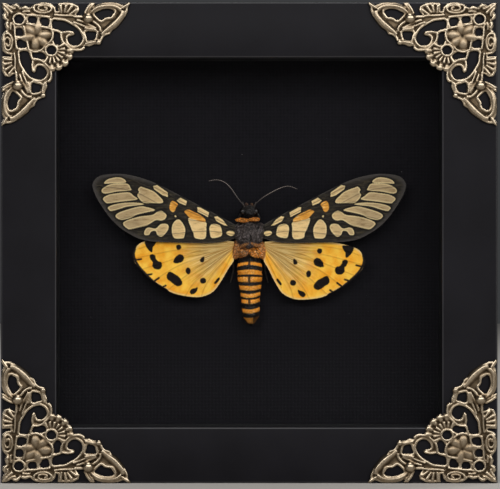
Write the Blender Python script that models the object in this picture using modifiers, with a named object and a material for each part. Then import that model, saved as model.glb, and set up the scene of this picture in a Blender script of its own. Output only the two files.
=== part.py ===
"""Tiger moth in a shadow-box frame, with filigree corners.

The box stands on its bottom rail and faces -Y. The origin is in the middle of that rail's underside, and +Z
is up.
Sizes in this file are millimetres, and Blender gets metres.
"""

import math

import bmesh
import bpy
from mathutils import Matrix, Vector

MM = 0.001
GAP = 0.3  # between pieces that touch
CUT_PAST = 1.0  # how far a cutter runs past the face that it cuts
UPRIGHT = math.radians(90)

# The box
FRAME_WIDTH = 140.0
FRAME_HEIGHT = 135.2
FRAME_DEPTH = 33.0
RAIL_WIDTH = 15.7
RAIL_WALL = 9.7  # behind the lip, beside the rebate
LIP_DEPTH = 5.0
ARRIS = 0.5
GLASS_THICK = 2.0
SPACER_DEPTH = 14.8
BACKING_THICK = 3.0
PANEL_THICK = 2.0

FRONT_Y = -FRAME_DEPTH / 2
BACK_Y = FRAME_DEPTH / 2
CENTRE_Z = FRAME_HEIGHT / 2
GLASS_Y = FRONT_Y + LIP_DEPTH + GAP
SPACER_Y = GLASS_Y + GLASS_THICK + GAP
BACKING_Y = SPACER_Y + SPACER_DEPTH + GAP
PANEL_Y = BACKING_Y + BACKING_THICK + GAP
PANEL_BACK_Y = PANEL_Y + PANEL_THICK
INNER_HALF_WIDTH = FRAME_WIDTH / 2 - RAIL_WALL - GAP  # what lies in the rebate
INNER_HALF_HEIGHT = FRAME_HEIGHT / 2 - RAIL_WALL - GAP
SPACER_THICK = RAIL_WIDTH - RAIL_WALL - GAP - 0.2

# Back fittings
TAB_WIDTH = 8.0
TAB_LENGTH = 11.0
TAB_THICK = 0.5
TAB_BITE = 4.0  # how far a tab goes into its rail
TAB_TAPER = 2.5
TAB_CHAMFER = 1.2
TAB_SPREAD = 38.0
HANGER_LENGTH = 42.0
HANGER_HEIGHT = 8.0
HANGER_THICK = 0.8
HANGER_RISE = 2.2
HANGER_BEND = 2.0
HANGER_FOOT = 8.0
HANGER_Z = 112.0
TOOTH_PITCH = 2.6
TOOTH_RADIUS = 1.45
TOOTH_COUNT = 7
NAIL_RADIUS = 0.6
NAIL_HEAD_RADIUS = 1.5
NAIL_HEAD_HEIGHT = 0.7
NAIL_LENGTH = 3.0

# Filigree corners
PLATE_THICK = 1.3
UPRIGHT_SHARE = 0.955  # the leg that stands up is this much shorter
FLOWER_CENTRE = (10.0, 10.0)
CORNER_RING = (5.15, 5.15)
SHELL_RING = (14.2, 14.2)
BEAD_CENTRE = (24.6, 4.75)
BEAD_RADIUS = 1.3

# The moth
MOTH_Z = 69.5
THORAX_HALF = (4.1, 3.3, 4.6)
THORAX_CENTRE = (0.0, 0.9, 0.4)
THORAX_FULLNESS = 0.72
HEAD_HALF = (2.2, 1.9, 1.65)
HEAD_CENTRE = (0.0, 0.7, 7.0)
EYE_RADIUS = 1.1
EYE_OUT = 1.85
ABDOMEN_Y = 1.5
ABDOMEN_TOP = -4.55
ABDOMEN_FLAT = 0.85
ABDOMEN_LEAN_DEG = 1.6
FOREWING_Y = 0.1
FOREWING_LIFT = 0.9
HINDWING_Y = 1.0
HINDWING_LIFT = 0.3
LEVEL_FROM = 40.0  # a wing rises up to this distance from the body
WING_THICK = 0.4
RIGHT_HINDWING_TURN_DEG = 3.8
HINDWING_HINGE = (3.9, -2.9)
ANTENNA_RADIUS = 0.2
LEG_RADIUS = 0.3
PIN_RADIUS = 0.25
PIN_Z = -1.0
PIN_STANDS_OUT = 0.1
PIN_IN_BOARD = 2.2


def clear_scene():
    for item in list(bpy.data.objects):
        bpy.data.objects.remove(item, do_unlink=True)


def new_collection(name):
    made = bpy.data.collections.new(name)
    bpy.context.scene.collection.children.link(made)
    return made


def material(name, colour, roughness, metallic=0.0, transmission=0.0):
    made = bpy.data.materials.new(name)
    made.use_nodes = True
    shader = made.node_tree.nodes["Principled BSDF"]
    shader.inputs["Base Color"].default_value = (*colour, 1.0)
    shader.inputs["Roughness"].default_value = roughness
    shader.inputs["Metallic"].default_value = metallic
    shader.inputs["Transmission Weight"].default_value = transmission
    made.diffuse_color = (*colour, 1.0)
    return made


def object_from(bm, name, finish, collection):
    """Makes an object from a bmesh that was built in millimetres."""
    bmesh.ops.transform(bm, matrix=Matrix.Scale(MM, 4), verts=bm.verts)
    bmesh.ops.recalc_face_normals(bm, faces=bm.faces)
    mesh = bpy.data.meshes.new(name)
    bm.to_mesh(mesh)
    bm.free()
    made = bpy.data.objects.new(name, mesh)
    made.data.materials.append(finish)
    collection.objects.link(made)
    return made


def box(name, low, high, finish, collection):
    """A box from its lowest corner to its highest, with its origin in its middle."""
    low, high = Vector(low), Vector(high)
    bm = bmesh.new()
    bmesh.ops.create_cube(bm, size=1.0)
    bmesh.ops.scale(bm, vec=high - low, verts=bm.verts)
    made = object_from(bm, name, finish, collection)
    made.location = (low + high) / 2 * MM
    return made


def rod(name, radius, front, back, x, z, sides, finish, collection):
    """A straight rod that runs from front to back. With three sides, one corner points up."""
    bm = bmesh.new()
    bmesh.ops.create_cone(
        bm, cap_ends=True, segments=sides, radius1=radius, radius2=radius, depth=back - front
    )
    made = object_from(bm, name, finish, collection)
    made.rotation_euler = (UPRIGHT, 0, 0)
    made.location = (x * MM, (front + back) / 2 * MM, z * MM)
    return made


def turned(name, profile, steps, finish, collection):
    """A shape turned about its own Z, from a profile of (radius, height) that runs down its outer side."""
    bm = bmesh.new()
    line = [bm.verts.new((radius, 0, height)) for radius, height in profile]
    for a, b in zip(line, line[1:]):
        bm.edges.new((a, b))
    made = object_from(bm, name, finish, collection)
    turn = made.modifiers.new("Turned", "SCREW")
    turn.steps = turn.render_steps = steps
    turn.use_merge_vertices = True
    turn.merge_threshold = 0.00001
    return made


def mirrored(points):
    return [(-a, b) for a, b in points]


def round_stretch(points, count):
    """A smooth line through the points, with a given number of steps between each two."""
    points = [Vector(p) for p in points]
    last = len(points) - 1
    made = []
    for i in range(last):
        a, b, c, d = (points[min(max(i + k - 1, 0), last)] for k in range(4))
        for step in range(count):
            t = step / count
            straight = (c - a) * (t / 2)
            square = (a * 2 - b * 5 + c * 4 - d) * (t * t / 2)
            cube = (b * 3 - a - c * 3 + d) * (t**3 / 2)
            made.append(b + straight + square + cube)
    made.append(points[-1])
    return made


def along(points, share):
    """The point at a share of a line's length."""
    lengths = [(b - a).length for a, b in zip(points, points[1:])]
    left = share * sum(lengths)
    for a, b, length in zip(points, points[1:], lengths):
        if left <= length:
            return a.lerp(b, left / length)
        left -= length
    return points[-1]


def flat_outline(name, loops, thick, collection):
    """A mesh plate in local XY, from an outer loop and its holes, from z = 0 to z = thick."""
    curve = bpy.data.curves.new(name, "CURVE")
    curve.dimensions = "2D"
    curve.fill_mode = "BOTH"
    curve.extrude = thick / 2 * MM
    for loop in loops:
        spline = curve.splines.new("POLY")
        spline.points.add(len(loop) - 1)
        for point, place in zip(spline.points, loop):
            point.co = (place[0] * MM, place[1] * MM, 0.0, 1.0)
        spline.use_cyclic_u = True
    drawn = bpy.data.objects.new(name, curve)
    collection.objects.link(drawn)
    graph = bpy.context.evaluated_depsgraph_get()
    mesh = bpy.data.meshes.new_from_object(drawn.evaluated_get(graph))
    bpy.data.objects.remove(drawn)
    bm = bmesh.new()
    bm.from_mesh(mesh)
    bmesh.ops.remove_doubles(bm, verts=bm.verts, dist=0.000005)
    bmesh.ops.translate(bm, vec=(0, 0, thick / 2 * MM), verts=bm.verts)
    bmesh.ops.recalc_face_normals(bm, faces=bm.faces)
    bm.to_mesh(mesh)
    bm.free()
    made = bpy.data.objects.new(name, mesh)
    collection.objects.link(made)
    return made


def helper(obj):
    obj.hide_render = True
    obj.display_type = "WIRE"
    return obj


def cut_or_join(target, other, operation):
    modifier = target.modifiers.new(f"{operation.title()} {other.name}", "BOOLEAN")
    modifier.operation = operation
    modifier.object = other
    modifier.solver = "EXACT"


def tube(name, points, radius, finish, collection):
    """A bent rod through the points, in millimetres."""
    curve = bpy.data.curves.new(name, "CURVE")
    curve.dimensions = "3D"
    curve.bevel_depth = radius * MM
    curve.bevel_resolution = 1
    curve.use_fill_caps = True
    spline = curve.splines.new("POLY")
    spline.points.add(len(points) - 1)
    for point, place in zip(spline.points, points):
        point.co = (*(Vector(place) * MM), 1.0)
    made = bpy.data.objects.new(name, curve)
    made.data.materials.append(finish)
    collection.objects.link(made)
    return made


# The moulding

def rail(name, length, half_distance, turn_deg, finish, parts):
    """One mitred rail. It is made as the bottom one, centred on the box, and then turned about Y."""
    outer, inner = -half_distance, -half_distance + RAIL_WIDTH
    wall = outer + RAIL_WALL
    profile = [
        (FRONT_Y + ARRIS, outer),
        (FRONT_Y, outer + ARRIS),
        (FRONT_Y, inner - ARRIS),
        (FRONT_Y + ARRIS, inner),
        (FRONT_Y + LIP_DEPTH, inner),
        (FRONT_Y + LIP_DEPTH, wall),
        (BACK_Y, wall),
        (BACK_Y, outer),
    ]
    made = flat_outline(name, [profile], length, parts)
    made.data.materials.append(finish)
    # Profile x runs front to back, profile y up, and the thickness along the rail.
    stand = Matrix(((0, 0, 1, 0), (1, 0, 0, 0), (0, 1, 0, 0), (0, 0, 0, 1)))
    bm = bmesh.new()
    bm.from_mesh(made.data)
    bmesh.ops.transform(bm, matrix=stand, verts=bm.verts)
    bmesh.ops.translate(bm, vec=(-length / 2 * MM, 0, 0), verts=bm.verts)
    for side in (-1, 1):
        # The mitre runs inwards from the rail's outer corner, half a gap short of it.
        bmesh.ops.bisect_plane(
            bm,
            geom=bm.verts[:] + bm.edges[:] + bm.faces[:],
            plane_co=((side * length / 2 - side * GAP / 2 * math.sqrt(2)) * MM, 0, outer * MM),
            plane_no=(side, 0, 1),
            clear_outer=True,
        )
        open_edges = [edge for edge in bm.edges if edge.is_boundary]
        bmesh.ops.holes_fill(bm, edges=open_edges)
    bmesh.ops.recalc_face_normals(bm, faces=bm.faces)
    bm.to_mesh(made.data)
    bm.free()
    made.rotation_euler = (0, math.radians(turn_deg), 0)
    made.location = (0, 0, CENTRE_Z * MM)
    return made


def moulding(finish, parts):
    half_width, half_height = FRAME_WIDTH / 2, FRAME_HEIGHT / 2
    return {
        name: rail(f"{name}_rail", length, half_distance, turn_deg, finish, parts)
        for name, length, half_distance, turn_deg in (
            ("bottom", FRAME_WIDTH, half_height, 0),
            ("left", FRAME_HEIGHT, half_width, 90),
            ("top", FRAME_WIDTH, half_height, 180),
            ("right", FRAME_HEIGHT, half_width, -90),
        )
    }


def inner_boards(glass, spacer_finish, cloth, panel_finish, parts):
    low_z, high_z = CENTRE_Z - INNER_HALF_HEIGHT, CENTRE_Z + INNER_HALF_HEIGHT
    edge = INNER_HALF_WIDTH
    sheets = {}
    for name, front, thick, finish in (
        ("glass_pane", GLASS_Y, GLASS_THICK, glass),
        ("backing_board", BACKING_Y, BACKING_THICK, cloth),
        ("back_panel", PANEL_Y, PANEL_THICK, panel_finish),
    ):
        sheets[name] = box(name, (-edge, front, low_z), (edge, front + thick, high_z), finish, parts)
    back = SPACER_Y + SPACER_DEPTH
    thick = SPACER_THICK
    for name, low, high in (
        ("bottom_spacer", (-edge, low_z), (edge, low_z + thick)),
        ("top_spacer", (-edge, high_z - thick), (edge, high_z)),
        ("left_spacer", (-edge, low_z + thick + GAP), (-edge + thick, high_z - thick - GAP)),
        ("right_spacer", (edge - thick, low_z + thick + GAP), (edge, high_z - thick - GAP)),
    ):
        box(name, (low[0], SPACER_Y, low[1]), (high[0], back, high[1]), spacer_finish, parts)
    return sheets


def retaining_tabs(rails, finish, parts, cutters):
    """Flexible points that hold the back panel. Each is pressed into a slot in the top or bottom rail."""
    front = PANEL_BACK_Y + GAP
    half = TAB_WIDTH / 2
    outline = [
        (-half + TAB_TAPER, 0),
        (half - TAB_TAPER, 0),
        (half, TAB_BITE),
        (half, TAB_LENGTH - TAB_CHAMFER),
        (half - TAB_CHAMFER, TAB_LENGTH),
        (-half + TAB_CHAMFER, TAB_LENGTH),
        (-half, TAB_LENGTH - TAB_CHAMFER),
        (-half, TAB_BITE),
    ]
    for rail_name, wall_z, up in (
        ("bottom", RAIL_WALL, 1),
        ("top", FRAME_HEIGHT - RAIL_WALL, -1),
    ):
        for number, x in enumerate((-TAB_SPREAD, 0.0, TAB_SPREAD), start=1):
            loop = [(a, up * (b - TAB_BITE)) for a, b in outline]
            name = f"{rail_name}_retaining_tab_{number}"
            made = flat_outline(name, [loop], TAB_THICK, parts)
            made.data.materials.append(finish)
            made.rotation_euler = (UPRIGHT, 0, 0)
            made.location = (x * MM, (front + TAB_THICK) * MM, wall_z * MM)
            inside = wall_z - up * (TAB_BITE + GAP)
            past = wall_z + up * CUT_PAST
            slot = box(
                f"{name}_slot",
                (x - half - GAP, front - GAP, min(inside, past)),
                (x + half + GAP, front + TAB_THICK + GAP, max(inside, past)),
                finish,
                cutters,
            )
            cut_or_join(rails[rail_name], helper(slot), "DIFFERENCE")


def hanger(panel, finish, parts, cutters):
    """A sawtooth hanger, bent clear of the panel between its two nailed feet."""
    front = PANEL_BACK_Y + GAP
    half, foot_end = HANGER_LENGTH / 2, HANGER_LENGTH / 2 - HANGER_FOOT
    low_z = HANGER_Z - HANGER_HEIGHT / 2
    panel_side = [(foot_end, 0), (foot_end - HANGER_BEND, HANGER_RISE - HANGER_THICK)]
    wall_side = [(a - HANGER_THICK / 2, b + HANGER_THICK) for a, b in panel_side]
    right_half = [(half, 0)] + panel_side
    right_back = wall_side[::-1] + [(half, HANGER_THICK)]
    outline = right_half + mirrored(right_half)[::-1] + mirrored(right_back)[::-1] + right_back
    made = flat_outline("sawtooth_hanger", [outline], HANGER_HEIGHT, parts)
    made.data.materials.append(finish)
    made.location = (0, front * MM, low_z * MM)
    for number in range(TOOTH_COUNT):
        x = (number - (TOOTH_COUNT - 1) / 2) * TOOTH_PITCH
        bar = front + HANGER_RISE
        notch = rod(f"tooth_notch_{number + 1}", TOOTH_RADIUS, bar - 4, bar + 1, x, low_z, 3, finish, cutters)
        cut_or_join(made, helper(notch), "DIFFERENCE")
    for side, x in (("left", -half + HANGER_FOOT / 2), ("right", half - HANGER_FOOT / 2)):
        hole = NAIL_RADIUS + GAP
        for target, start, thick in ((made, front, HANGER_THICK), (panel, PANEL_Y, PANEL_THICK)):
            end = start + thick + CUT_PAST
            name = f"{side}_nail_hole_in_{target.name}"
            drill = rod(name, hole, start - CUT_PAST, end, x, HANGER_Z, 8, finish, cutters)
            cut_or_join(target, helper(drill), "DIFFERENCE")
        profile = [
            (0, NAIL_HEAD_HEIGHT),
            (NAIL_HEAD_RADIUS * 0.7, NAIL_HEAD_HEIGHT * 0.7),
            (NAIL_HEAD_RADIUS, 0),
            (NAIL_RADIUS, 0),
            (NAIL_RADIUS, NAIL_RADIUS - NAIL_LENGTH),
            (0, -NAIL_LENGTH),
        ]
        nail = turned(f"{side}_hanger_nail", profile, 8, finish, parts)
        nail.rotation_euler = (-UPRIGHT, 0, 0)
        nail.location = (x * MM, (front + HANGER_THICK + GAP) * MM, HANGER_Z * MM)


# Filigree corners. Points are (along the level leg, along the upright leg) from the frame's outer corner.
# Only one leg is drawn, and the other is its reflection in the diagonal.

OUTER_CORNER = (0.4, 0.4)
LEG_EDGE = [
    (1.7, 0.55), (2.65, 1.4), (4.2, 0.6), (5.5, 1.8), (7.0, 1.25), (8.15, 1.8), (9.55, 0.75),
    (11.25, 0.35), (12.8, 0.35), (14.3, 0.65), (15.3, 1.6), (15.6, 3.0), (16.15, 3.0), (16.1, 0.45),
    (18.55, 0.35), (20.2, 0.5), (21.8, 1.3), (22.1, 2.5), (20.9, 4.15), (23.4, 4.15), (23.75, 2.8),
    (25.15, 0.4), (26.5, 0.4), (25.85, 1.6), (27.0, 0.9), (28.65, 0.4), (31.2, 0.3), (33.0, 0.5),
    (34.4, 1.1), (35.8, 0.3), (36.5, 0.5), (35.8, 1.3), (35.7, 2.65), (35.0, 4.25), (33.4, 6.0),
    (31.2, 8.5), (30.6, 9.6), (29.1, 9.8), (28.4, 10.7), (28.3, 11.9), (27.7, 12.65), (26.3, 12.5),
    (24.9, 13.1), (23.75, 12.95), (23.0, 13.95), (21.9, 14.4), (20.65, 14.1),
]
LOOP_HOLE = [
    (26.3, 3.4), (27.4, 2.7), (28.5, 2.2), (29.9, 2.0), (31.3, 2.25), (31.9, 2.8),
    (31.7, 3.75), (31.2, 4.55), (29.85, 4.65), (28.95, 5.0), (28.25, 5.5), (27.1, 4.55),
]
KNEE_HOLE = [
    (23.85, 8.8), (26.7, 8.75), (26.75, 9.85), (26.4, 11.0), (25.3, 11.45), (24.4, 11.45), (24.1, 10.3),
]
SCROLL_HOLE = [
    (14.6, 5.45), (16.15, 5.4), (18.0, 5.65), (19.65, 6.55), (20.95, 7.35), (22.05, 8.4), (22.8, 9.85),
    (22.95, 11.15), (22.35, 12.3), (21.2, 12.95), (20.0, 12.8), (19.1, 12.0), (18.75, 11.0), (19.1, 10.15),
    (20.65, 9.7), (20.55, 8.95), (19.4, 8.7), (17.05, 8.8), (16.15, 8.3), (14.6, 7.7),
]
LATTICE_HOLES = [
    [(7.95, 4.25), (10.0, 4.4), (9.9, 6.3), (7.85, 6.05)],
    [(11.2, 4.7), (13.55, 4.95), (13.25, 7.25), (11.25, 6.85)],
    [
        (14.9, 8.9), (16.75, 9.3), (16.85, 10.35), (17.05, 11.4),
        (16.9, 12.3), (16.0, 12.8), (15.2, 12.2), (14.7, 11.0),
    ],
]
CORNER_HOLE_RADIUS = 1.38
SHELL_HOLE_RADIUS = 1.2
SHELL_RADIUS = 6.3
SHELL_NOTCH = 0.75
LOBE_ANGLES_DEG = (1.0, 23.0, 45.0, 67.0, 89.0)
LOBE_SPREAD_DEG = 7.0
LOBE_MIDDLE = 4.1
LOBE_HALF = (1.9, 0.75, 0.6)
FLOWER_RISE = 1.1
FLOWER_CROWN = 0.9
PETAL_REACH = (4.6, 4.6, 3.2, 3.9, 3.9, 3.2)
PETAL_WAIST = 0.72  # of the shorter petal beside it
PETAL_FIRST_DEG = 15.0
PETAL_STEP_DEG = 60.0


def swapped(points):
    return [(b, a) for a, b in points]


def polar(centre, reach, angle_deg):
    angle = math.radians(angle_deg)
    return (centre[0] + reach * math.cos(angle), centre[1] + reach * math.sin(angle))


def circle(centre, radius, count):
    return [polar(centre, radius, 360 * i / count) for i in range(count)]


def shell_edge():
    """The shell's scalloped rim, from the level leg's end to the upright leg's."""
    made = []
    for angle, following in zip(LOBE_ANGLES_DEG, LOBE_ANGLES_DEG[1:] + (None,)):
        for turn, reach in ((-LOBE_SPREAD_DEG, -0.15), (0, 0), (LOBE_SPREAD_DEG, -0.15)):
            made.append(polar(SHELL_RING, SHELL_RADIUS + reach, angle + turn))
        if following:
            made.append(polar(SHELL_RING, SHELL_RADIUS - SHELL_NOTCH, (angle + following) / 2))
    return made


def add_flower(bm, place, top):
    """A low cone with its rim drawn out to six petals."""
    flower = bmesh.ops.create_cone(
        bm, cap_ends=True, segments=12, radius1=1.0, radius2=0.3, depth=FLOWER_RISE
    )["verts"]
    for vert in flower:
        half_steps = round(math.degrees(math.atan2(vert.co.y, vert.co.x)) / PETAL_STEP_DEG * 2) % 12
        petal = half_steps // 2
        if vert.co.z > 0:
            reach = FLOWER_CROWN
        elif half_steps % 2:
            reach = PETAL_WAIST * min(PETAL_REACH[petal], PETAL_REACH[(petal + 1) % 6])
        else:
            reach = PETAL_REACH[petal]
        angle = PETAL_FIRST_DEG + half_steps * PETAL_STEP_DEG / 2
        vert.co = (*place(polar(FLOWER_CENTRE, reach, angle)), top + vert.co.z + 0.1)


def add_shell_lobes(bm, place, top):
    for angle in LOBE_ANGLES_DEG:
        lobe = bmesh.ops.create_uvsphere(bm, u_segments=6, v_segments=4, radius=1.0)["verts"]
        for vert in lobe:
            out, side, rise = (vert.co[i] * LOBE_HALF[i] for i in range(3))
            spine = polar(SHELL_RING, LOBE_MIDDLE + out, angle)
            vert.co = (*place(polar(spine, side, angle + 90)), top + rise)


def relief_on_plate(place, top):
    """What stands out of the plate: two beads, the flower and the shell's lobes."""
    bm = bmesh.new()
    for centre in (BEAD_CENTRE, BEAD_CENTRE[::-1]):
        bead = bmesh.ops.create_uvsphere(bm, u_segments=8, v_segments=4, radius=BEAD_RADIUS)["verts"]
        bmesh.ops.translate(bm, vec=(*place(centre), top), verts=bead)
    add_flower(bm, place, top)
    add_shell_lobes(bm, place, top)
    return bm


def filigree_corner(name, side_x, side_z, finish, parts, cutters):
    """One filigree corner on the frame's face. side_x and side_z say which corner, each -1 or 1."""

    def place(point):
        x = side_x * (FRAME_WIDTH / 2 - point[0])
        z = side_z * (FRAME_HEIGHT / 2 - point[1] * UPRIGHT_SHARE)
        return x, z

    outline = [OUTER_CORNER] + LEG_EDGE + shell_edge() + swapped(LEG_EDGE)[::-1]
    holes = [circle(CORNER_RING, CORNER_HOLE_RADIUS, 10), circle(SHELL_RING, SHELL_HOLE_RADIUS, 10)]
    for hole in [LOOP_HOLE, KNEE_HOLE, SCROLL_HOLE] + LATTICE_HOLES:
        holes += [hole, swapped(hole)]
    loops = [[place(point) for point in loop] for loop in [outline] + holes]
    plate = flat_outline(name, loops, PLATE_THICK, parts)
    plate.data.materials.append(finish)
    relief = object_from(relief_on_plate(place, PLATE_THICK), f"{name}_relief", finish, cutters)
    cut_or_join(plate, helper(relief), "UNION")
    for item in (plate, relief):
        item.rotation_euler = (UPRIGHT, 0, 0)
        item.location = (0, (FRONT_Y - GAP) * MM, CENTRE_Z * MM)


# The moth. Wing points are (out from the body's middle, up from the thorax).

FOREWING_LEAD = [
    (3.95, 3.1), (6.7, 4.7), (12.4, 7.7), (18.1, 10.7), (23.8, 13.6), (28.1, 15.6),
    (32.4, 17.0), (36.7, 17.7), (40.9, 17.5), (43.2, 16.8), (44.5, 15.5),
]
FOREWING_TRAIL = [
    (4.1, -0.6), (6.4, -1.4), (9.5, -1.95), (15.2, -2.0), (20.9, -1.9), (26.6, -1.7), (30.1, -1.2),
    (32.9, -0.15), (36.7, 2.2), (39.5, 4.9), (41.8, 8.0), (43.8, 11.4), (44.7, 14.0), (44.5, 15.5),
]
HINDWING_LEAD = [
    (4.3, -1.7), (10.0, -0.7), (18.0, -0.2), (25.0, -0.6), (30.0, -1.6),
    (31.8, -2.6), (33.0, -4.2), (33.4, -5.5),
]
HINDWING_TRAIL = [
    (4.35, -5.4), (4.5, -7.2), (5.9, -9.3), (8.2, -13.2), (10.4, -16.0), (13.5, -17.35), (16.7, -17.4),
    (21.6, -16.4), (25.9, -14.0), (29.1, -11.7), (32.5, -7.9), (33.4, -5.5),
]
FORE_SPANS, FORE_CHORDS = 18, 6
HIND_SPANS, HIND_CHORDS = 16, 7


def wing(name, lead, trail, spans, chords, side, depth, lift, turn_deg, finish, parts):
    """One wing, from its leading and trailing edges. lift is how far its tip rises towards the viewer."""
    lead_line = round_stretch([(a, b, 0) for a, b in lead], 6)
    trail_line = round_stretch([(a, b, 0) for a, b in trail], 6)
    turn = Matrix.Rotation(math.radians(turn_deg), 3, "Z")
    hinge = Vector((*HINDWING_HINGE, 0))
    bm = bmesh.new()
    bmesh.ops.create_grid(bm, x_segments=spans, y_segments=chords, size=0.5)
    for vert in bm.verts:
        span, chord = vert.co.x + 0.5, vert.co.y + 0.5
        flat = turn @ (along(lead_line, span).lerp(along(trail_line, span), chord) - hinge) + hinge
        rise = lift * math.sin(min(flat.x / LEVEL_FROM, 1.0) * math.pi / 2)
        vert.co = (side * flat.x, -rise, flat.y)
    bmesh.ops.remove_doubles(bm, verts=bm.verts, dist=0.02)
    made = object_from(bm, name, finish, parts)
    made.location = (0, depth * MM, MOTH_Z * MM)
    skin = made.modifiers.new("Thickness", "SOLIDIFY")
    skin.thickness = WING_THICK * MM
    skin.offset = 0.0


def wings(fore_finish, hind_finish, parts):
    for word, side, turn in (("left", -1, 0.0), ("right", 1, -RIGHT_HINDWING_TURN_DEG)):
        wing(
            f"{word}_forewing", FOREWING_LEAD, FOREWING_TRAIL, FORE_SPANS, FORE_CHORDS,
            side, FOREWING_Y, FOREWING_LIFT, 0.0, fore_finish, parts,
        )
        wing(
            f"{word}_hindwing", HINDWING_LEAD, HINDWING_TRAIL, HIND_SPANS, HIND_CHORDS,
            side, HINDWING_Y, HINDWING_LIFT, turn, hind_finish, parts,
        )


def ball(name, half, centre, sides, rings, finish, collection, fullness=1.0):
    """A ball pulled to half sizes. A fullness under 1 keeps it wide towards its ends."""
    bm = bmesh.new()
    bmesh.ops.create_uvsphere(bm, u_segments=sides, v_segments=rings, radius=1.0)
    for vert in bm.verts:
        around = math.hypot(vert.co.x, vert.co.y)
        wider = around ** (fullness - 1) if around > 1e-6 else 1
        vert.co = (vert.co.x * wider * half[0], vert.co.y * wider * half[1], vert.co.z * half[2])
    made = object_from(bm, name, finish, collection)
    made.location = (centre[0] * MM, centre[1] * MM, (MOTH_Z + centre[2]) * MM)
    return made


def head(finish, parts, cutters):
    skull = ball("head", HEAD_HALF, HEAD_CENTRE, 10, 6, finish, parts)
    for word, side in (("left", -1), ("right", 1)):
        centre = (side * EYE_OUT, HEAD_CENTRE[1], HEAD_CENTRE[2])
        eye = ball(f"{word}_eye", (EYE_RADIUS,) * 3, centre, 8, 6, finish, cutters)
        cut_or_join(skull, helper(eye), "UNION")


def thorax(finish, parts, cutters):
    trunk = ball("thorax", THORAX_HALF, THORAX_CENTRE, 14, 10, finish, parts, THORAX_FULLNESS)
    front = THORAX_CENTRE[1] - THORAX_HALF[1] - CUT_PAST
    back = THORAX_CENTRE[1] + THORAX_HALF[1] + CUT_PAST
    drill = rod("thorax_pin_hole", PIN_RADIUS + GAP, front, back, 0, MOTH_Z + PIN_Z, 8, finish, cutters)
    cut_or_join(trunk, helper(drill), "DIFFERENCE")


# The abdomen's segments: (distance below its top, half width).
ABDOMEN_SEGMENTS = [
    (0.0, 2.6), (3.0, 3.55), (5.9, 3.75), (8.6, 3.5), (11.2, 3.05), (13.4, 2.85),
    (15.4, 2.75), (17.3, 2.5), (19.2, 2.0), (20.9, 1.0),
]
SEGMENT_NIP = 0.88  # of the half width, where two segments meet
SEGMENT_LIP = 0.35  # how far above the nip a segment is widest


def abdomen(finish, parts):
    profile = [(0.0, 0.0), (ABDOMEN_SEGMENTS[0][1] * 0.8, -0.1)]
    for (top, wide), (low, wide_low) in zip(ABDOMEN_SEGMENTS, ABDOMEN_SEGMENTS[1:]):
        profile += [
            ((wide + wide_low) / 2, -top - (low - top) * 0.35),
            (wide_low, -low + SEGMENT_LIP),
            (wide_low * SEGMENT_NIP, -low),
        ]
    profile.append((0.0, -ABDOMEN_SEGMENTS[-1][0] - 0.25))
    made = turned("abdomen", profile, 12, finish, parts)
    made.scale = (1.0, ABDOMEN_FLAT, 1.0)
    made.rotation_euler = (0, math.radians(-ABDOMEN_LEAN_DEG), 0)
    made.location = (0, ABDOMEN_Y * MM, (MOTH_Z + ABDOMEN_TOP) * MM)


# Antennae and legs: (to the viewer's right, back towards the board, up from the thorax's middle).
LEFT_ANTENNA = [
    (-1.9, -0.2, 9.0), (-3.4, -0.7, 11.0), (-5.2, -1.0, 13.6),
    (-7.0, -1.1, 15.3), (-9.2, -0.9, 16.0), (-11.6, -0.5, 15.7),
]
RIGHT_ANTENNA = [
    (1.7, -0.2, 9.0), (3.4, -0.7, 10.6), (5.9, -1.0, 12.2),
    (8.7, -1.1, 13.6), (11.2, -0.9, 14.2), (13.7, -0.5, 13.4),
]
# The legs are folded under the body, behind it as the viewer sees it.
LEGS = {
    "foreleg": [(1.5, 4.7, 3.2), (2.9, 5.3, 5.2), (1.5, 5.4, 7.6), (1.9, 5.5, 9.8)],
    "midleg": [(2.2, 4.7, 0.9), (5.2, 4.9, 1.9), (6.9, 5.3, -1.0), (7.2, 5.5, -4.2)],
    "hindleg": [(2.0, 4.8, -1.9), (4.9, 5.0, -4.4), (4.5, 5.4, -9.2), (5.4, 5.5, -13.4)],
}


def antennae_and_legs(finish, parts):
    for word, points in (("left", LEFT_ANTENNA), ("right", RIGHT_ANTENNA)):
        line = [(x, y, MOTH_Z + z) for x, y, z in round_stretch(points, 2)]
        tube(f"{word}_antenna", line, ANTENNA_RADIUS, finish, parts)
    for leg, points in LEGS.items():
        for word, side in (("left", -1), ("right", 1)):
            line = [(side * x, y, MOTH_Z + z) for x, y, z in points]
            tube(f"{word}_{leg}", line, LEG_RADIUS, finish, parts)


def mounting_pin(board, finish, parts, cutters):
    """The pin that carries the moth: clipped off just above the thorax, and set in the backing board."""
    top = THORAX_CENTRE[1] - THORAX_HALF[1] - PIN_STANDS_OUT
    tip = BACKING_Y + PIN_IN_BOARD
    z = MOTH_Z + PIN_Z
    rod("mounting_pin", PIN_RADIUS, top, tip, 0, z, 8, finish, parts)
    hole = rod("board_pin_hole", PIN_RADIUS + GAP, BACKING_Y - CUT_PAST, tip + GAP, 0, z, 8, finish, cutters)
    cut_or_join(board, helper(hole), "DIFFERENCE")


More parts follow.
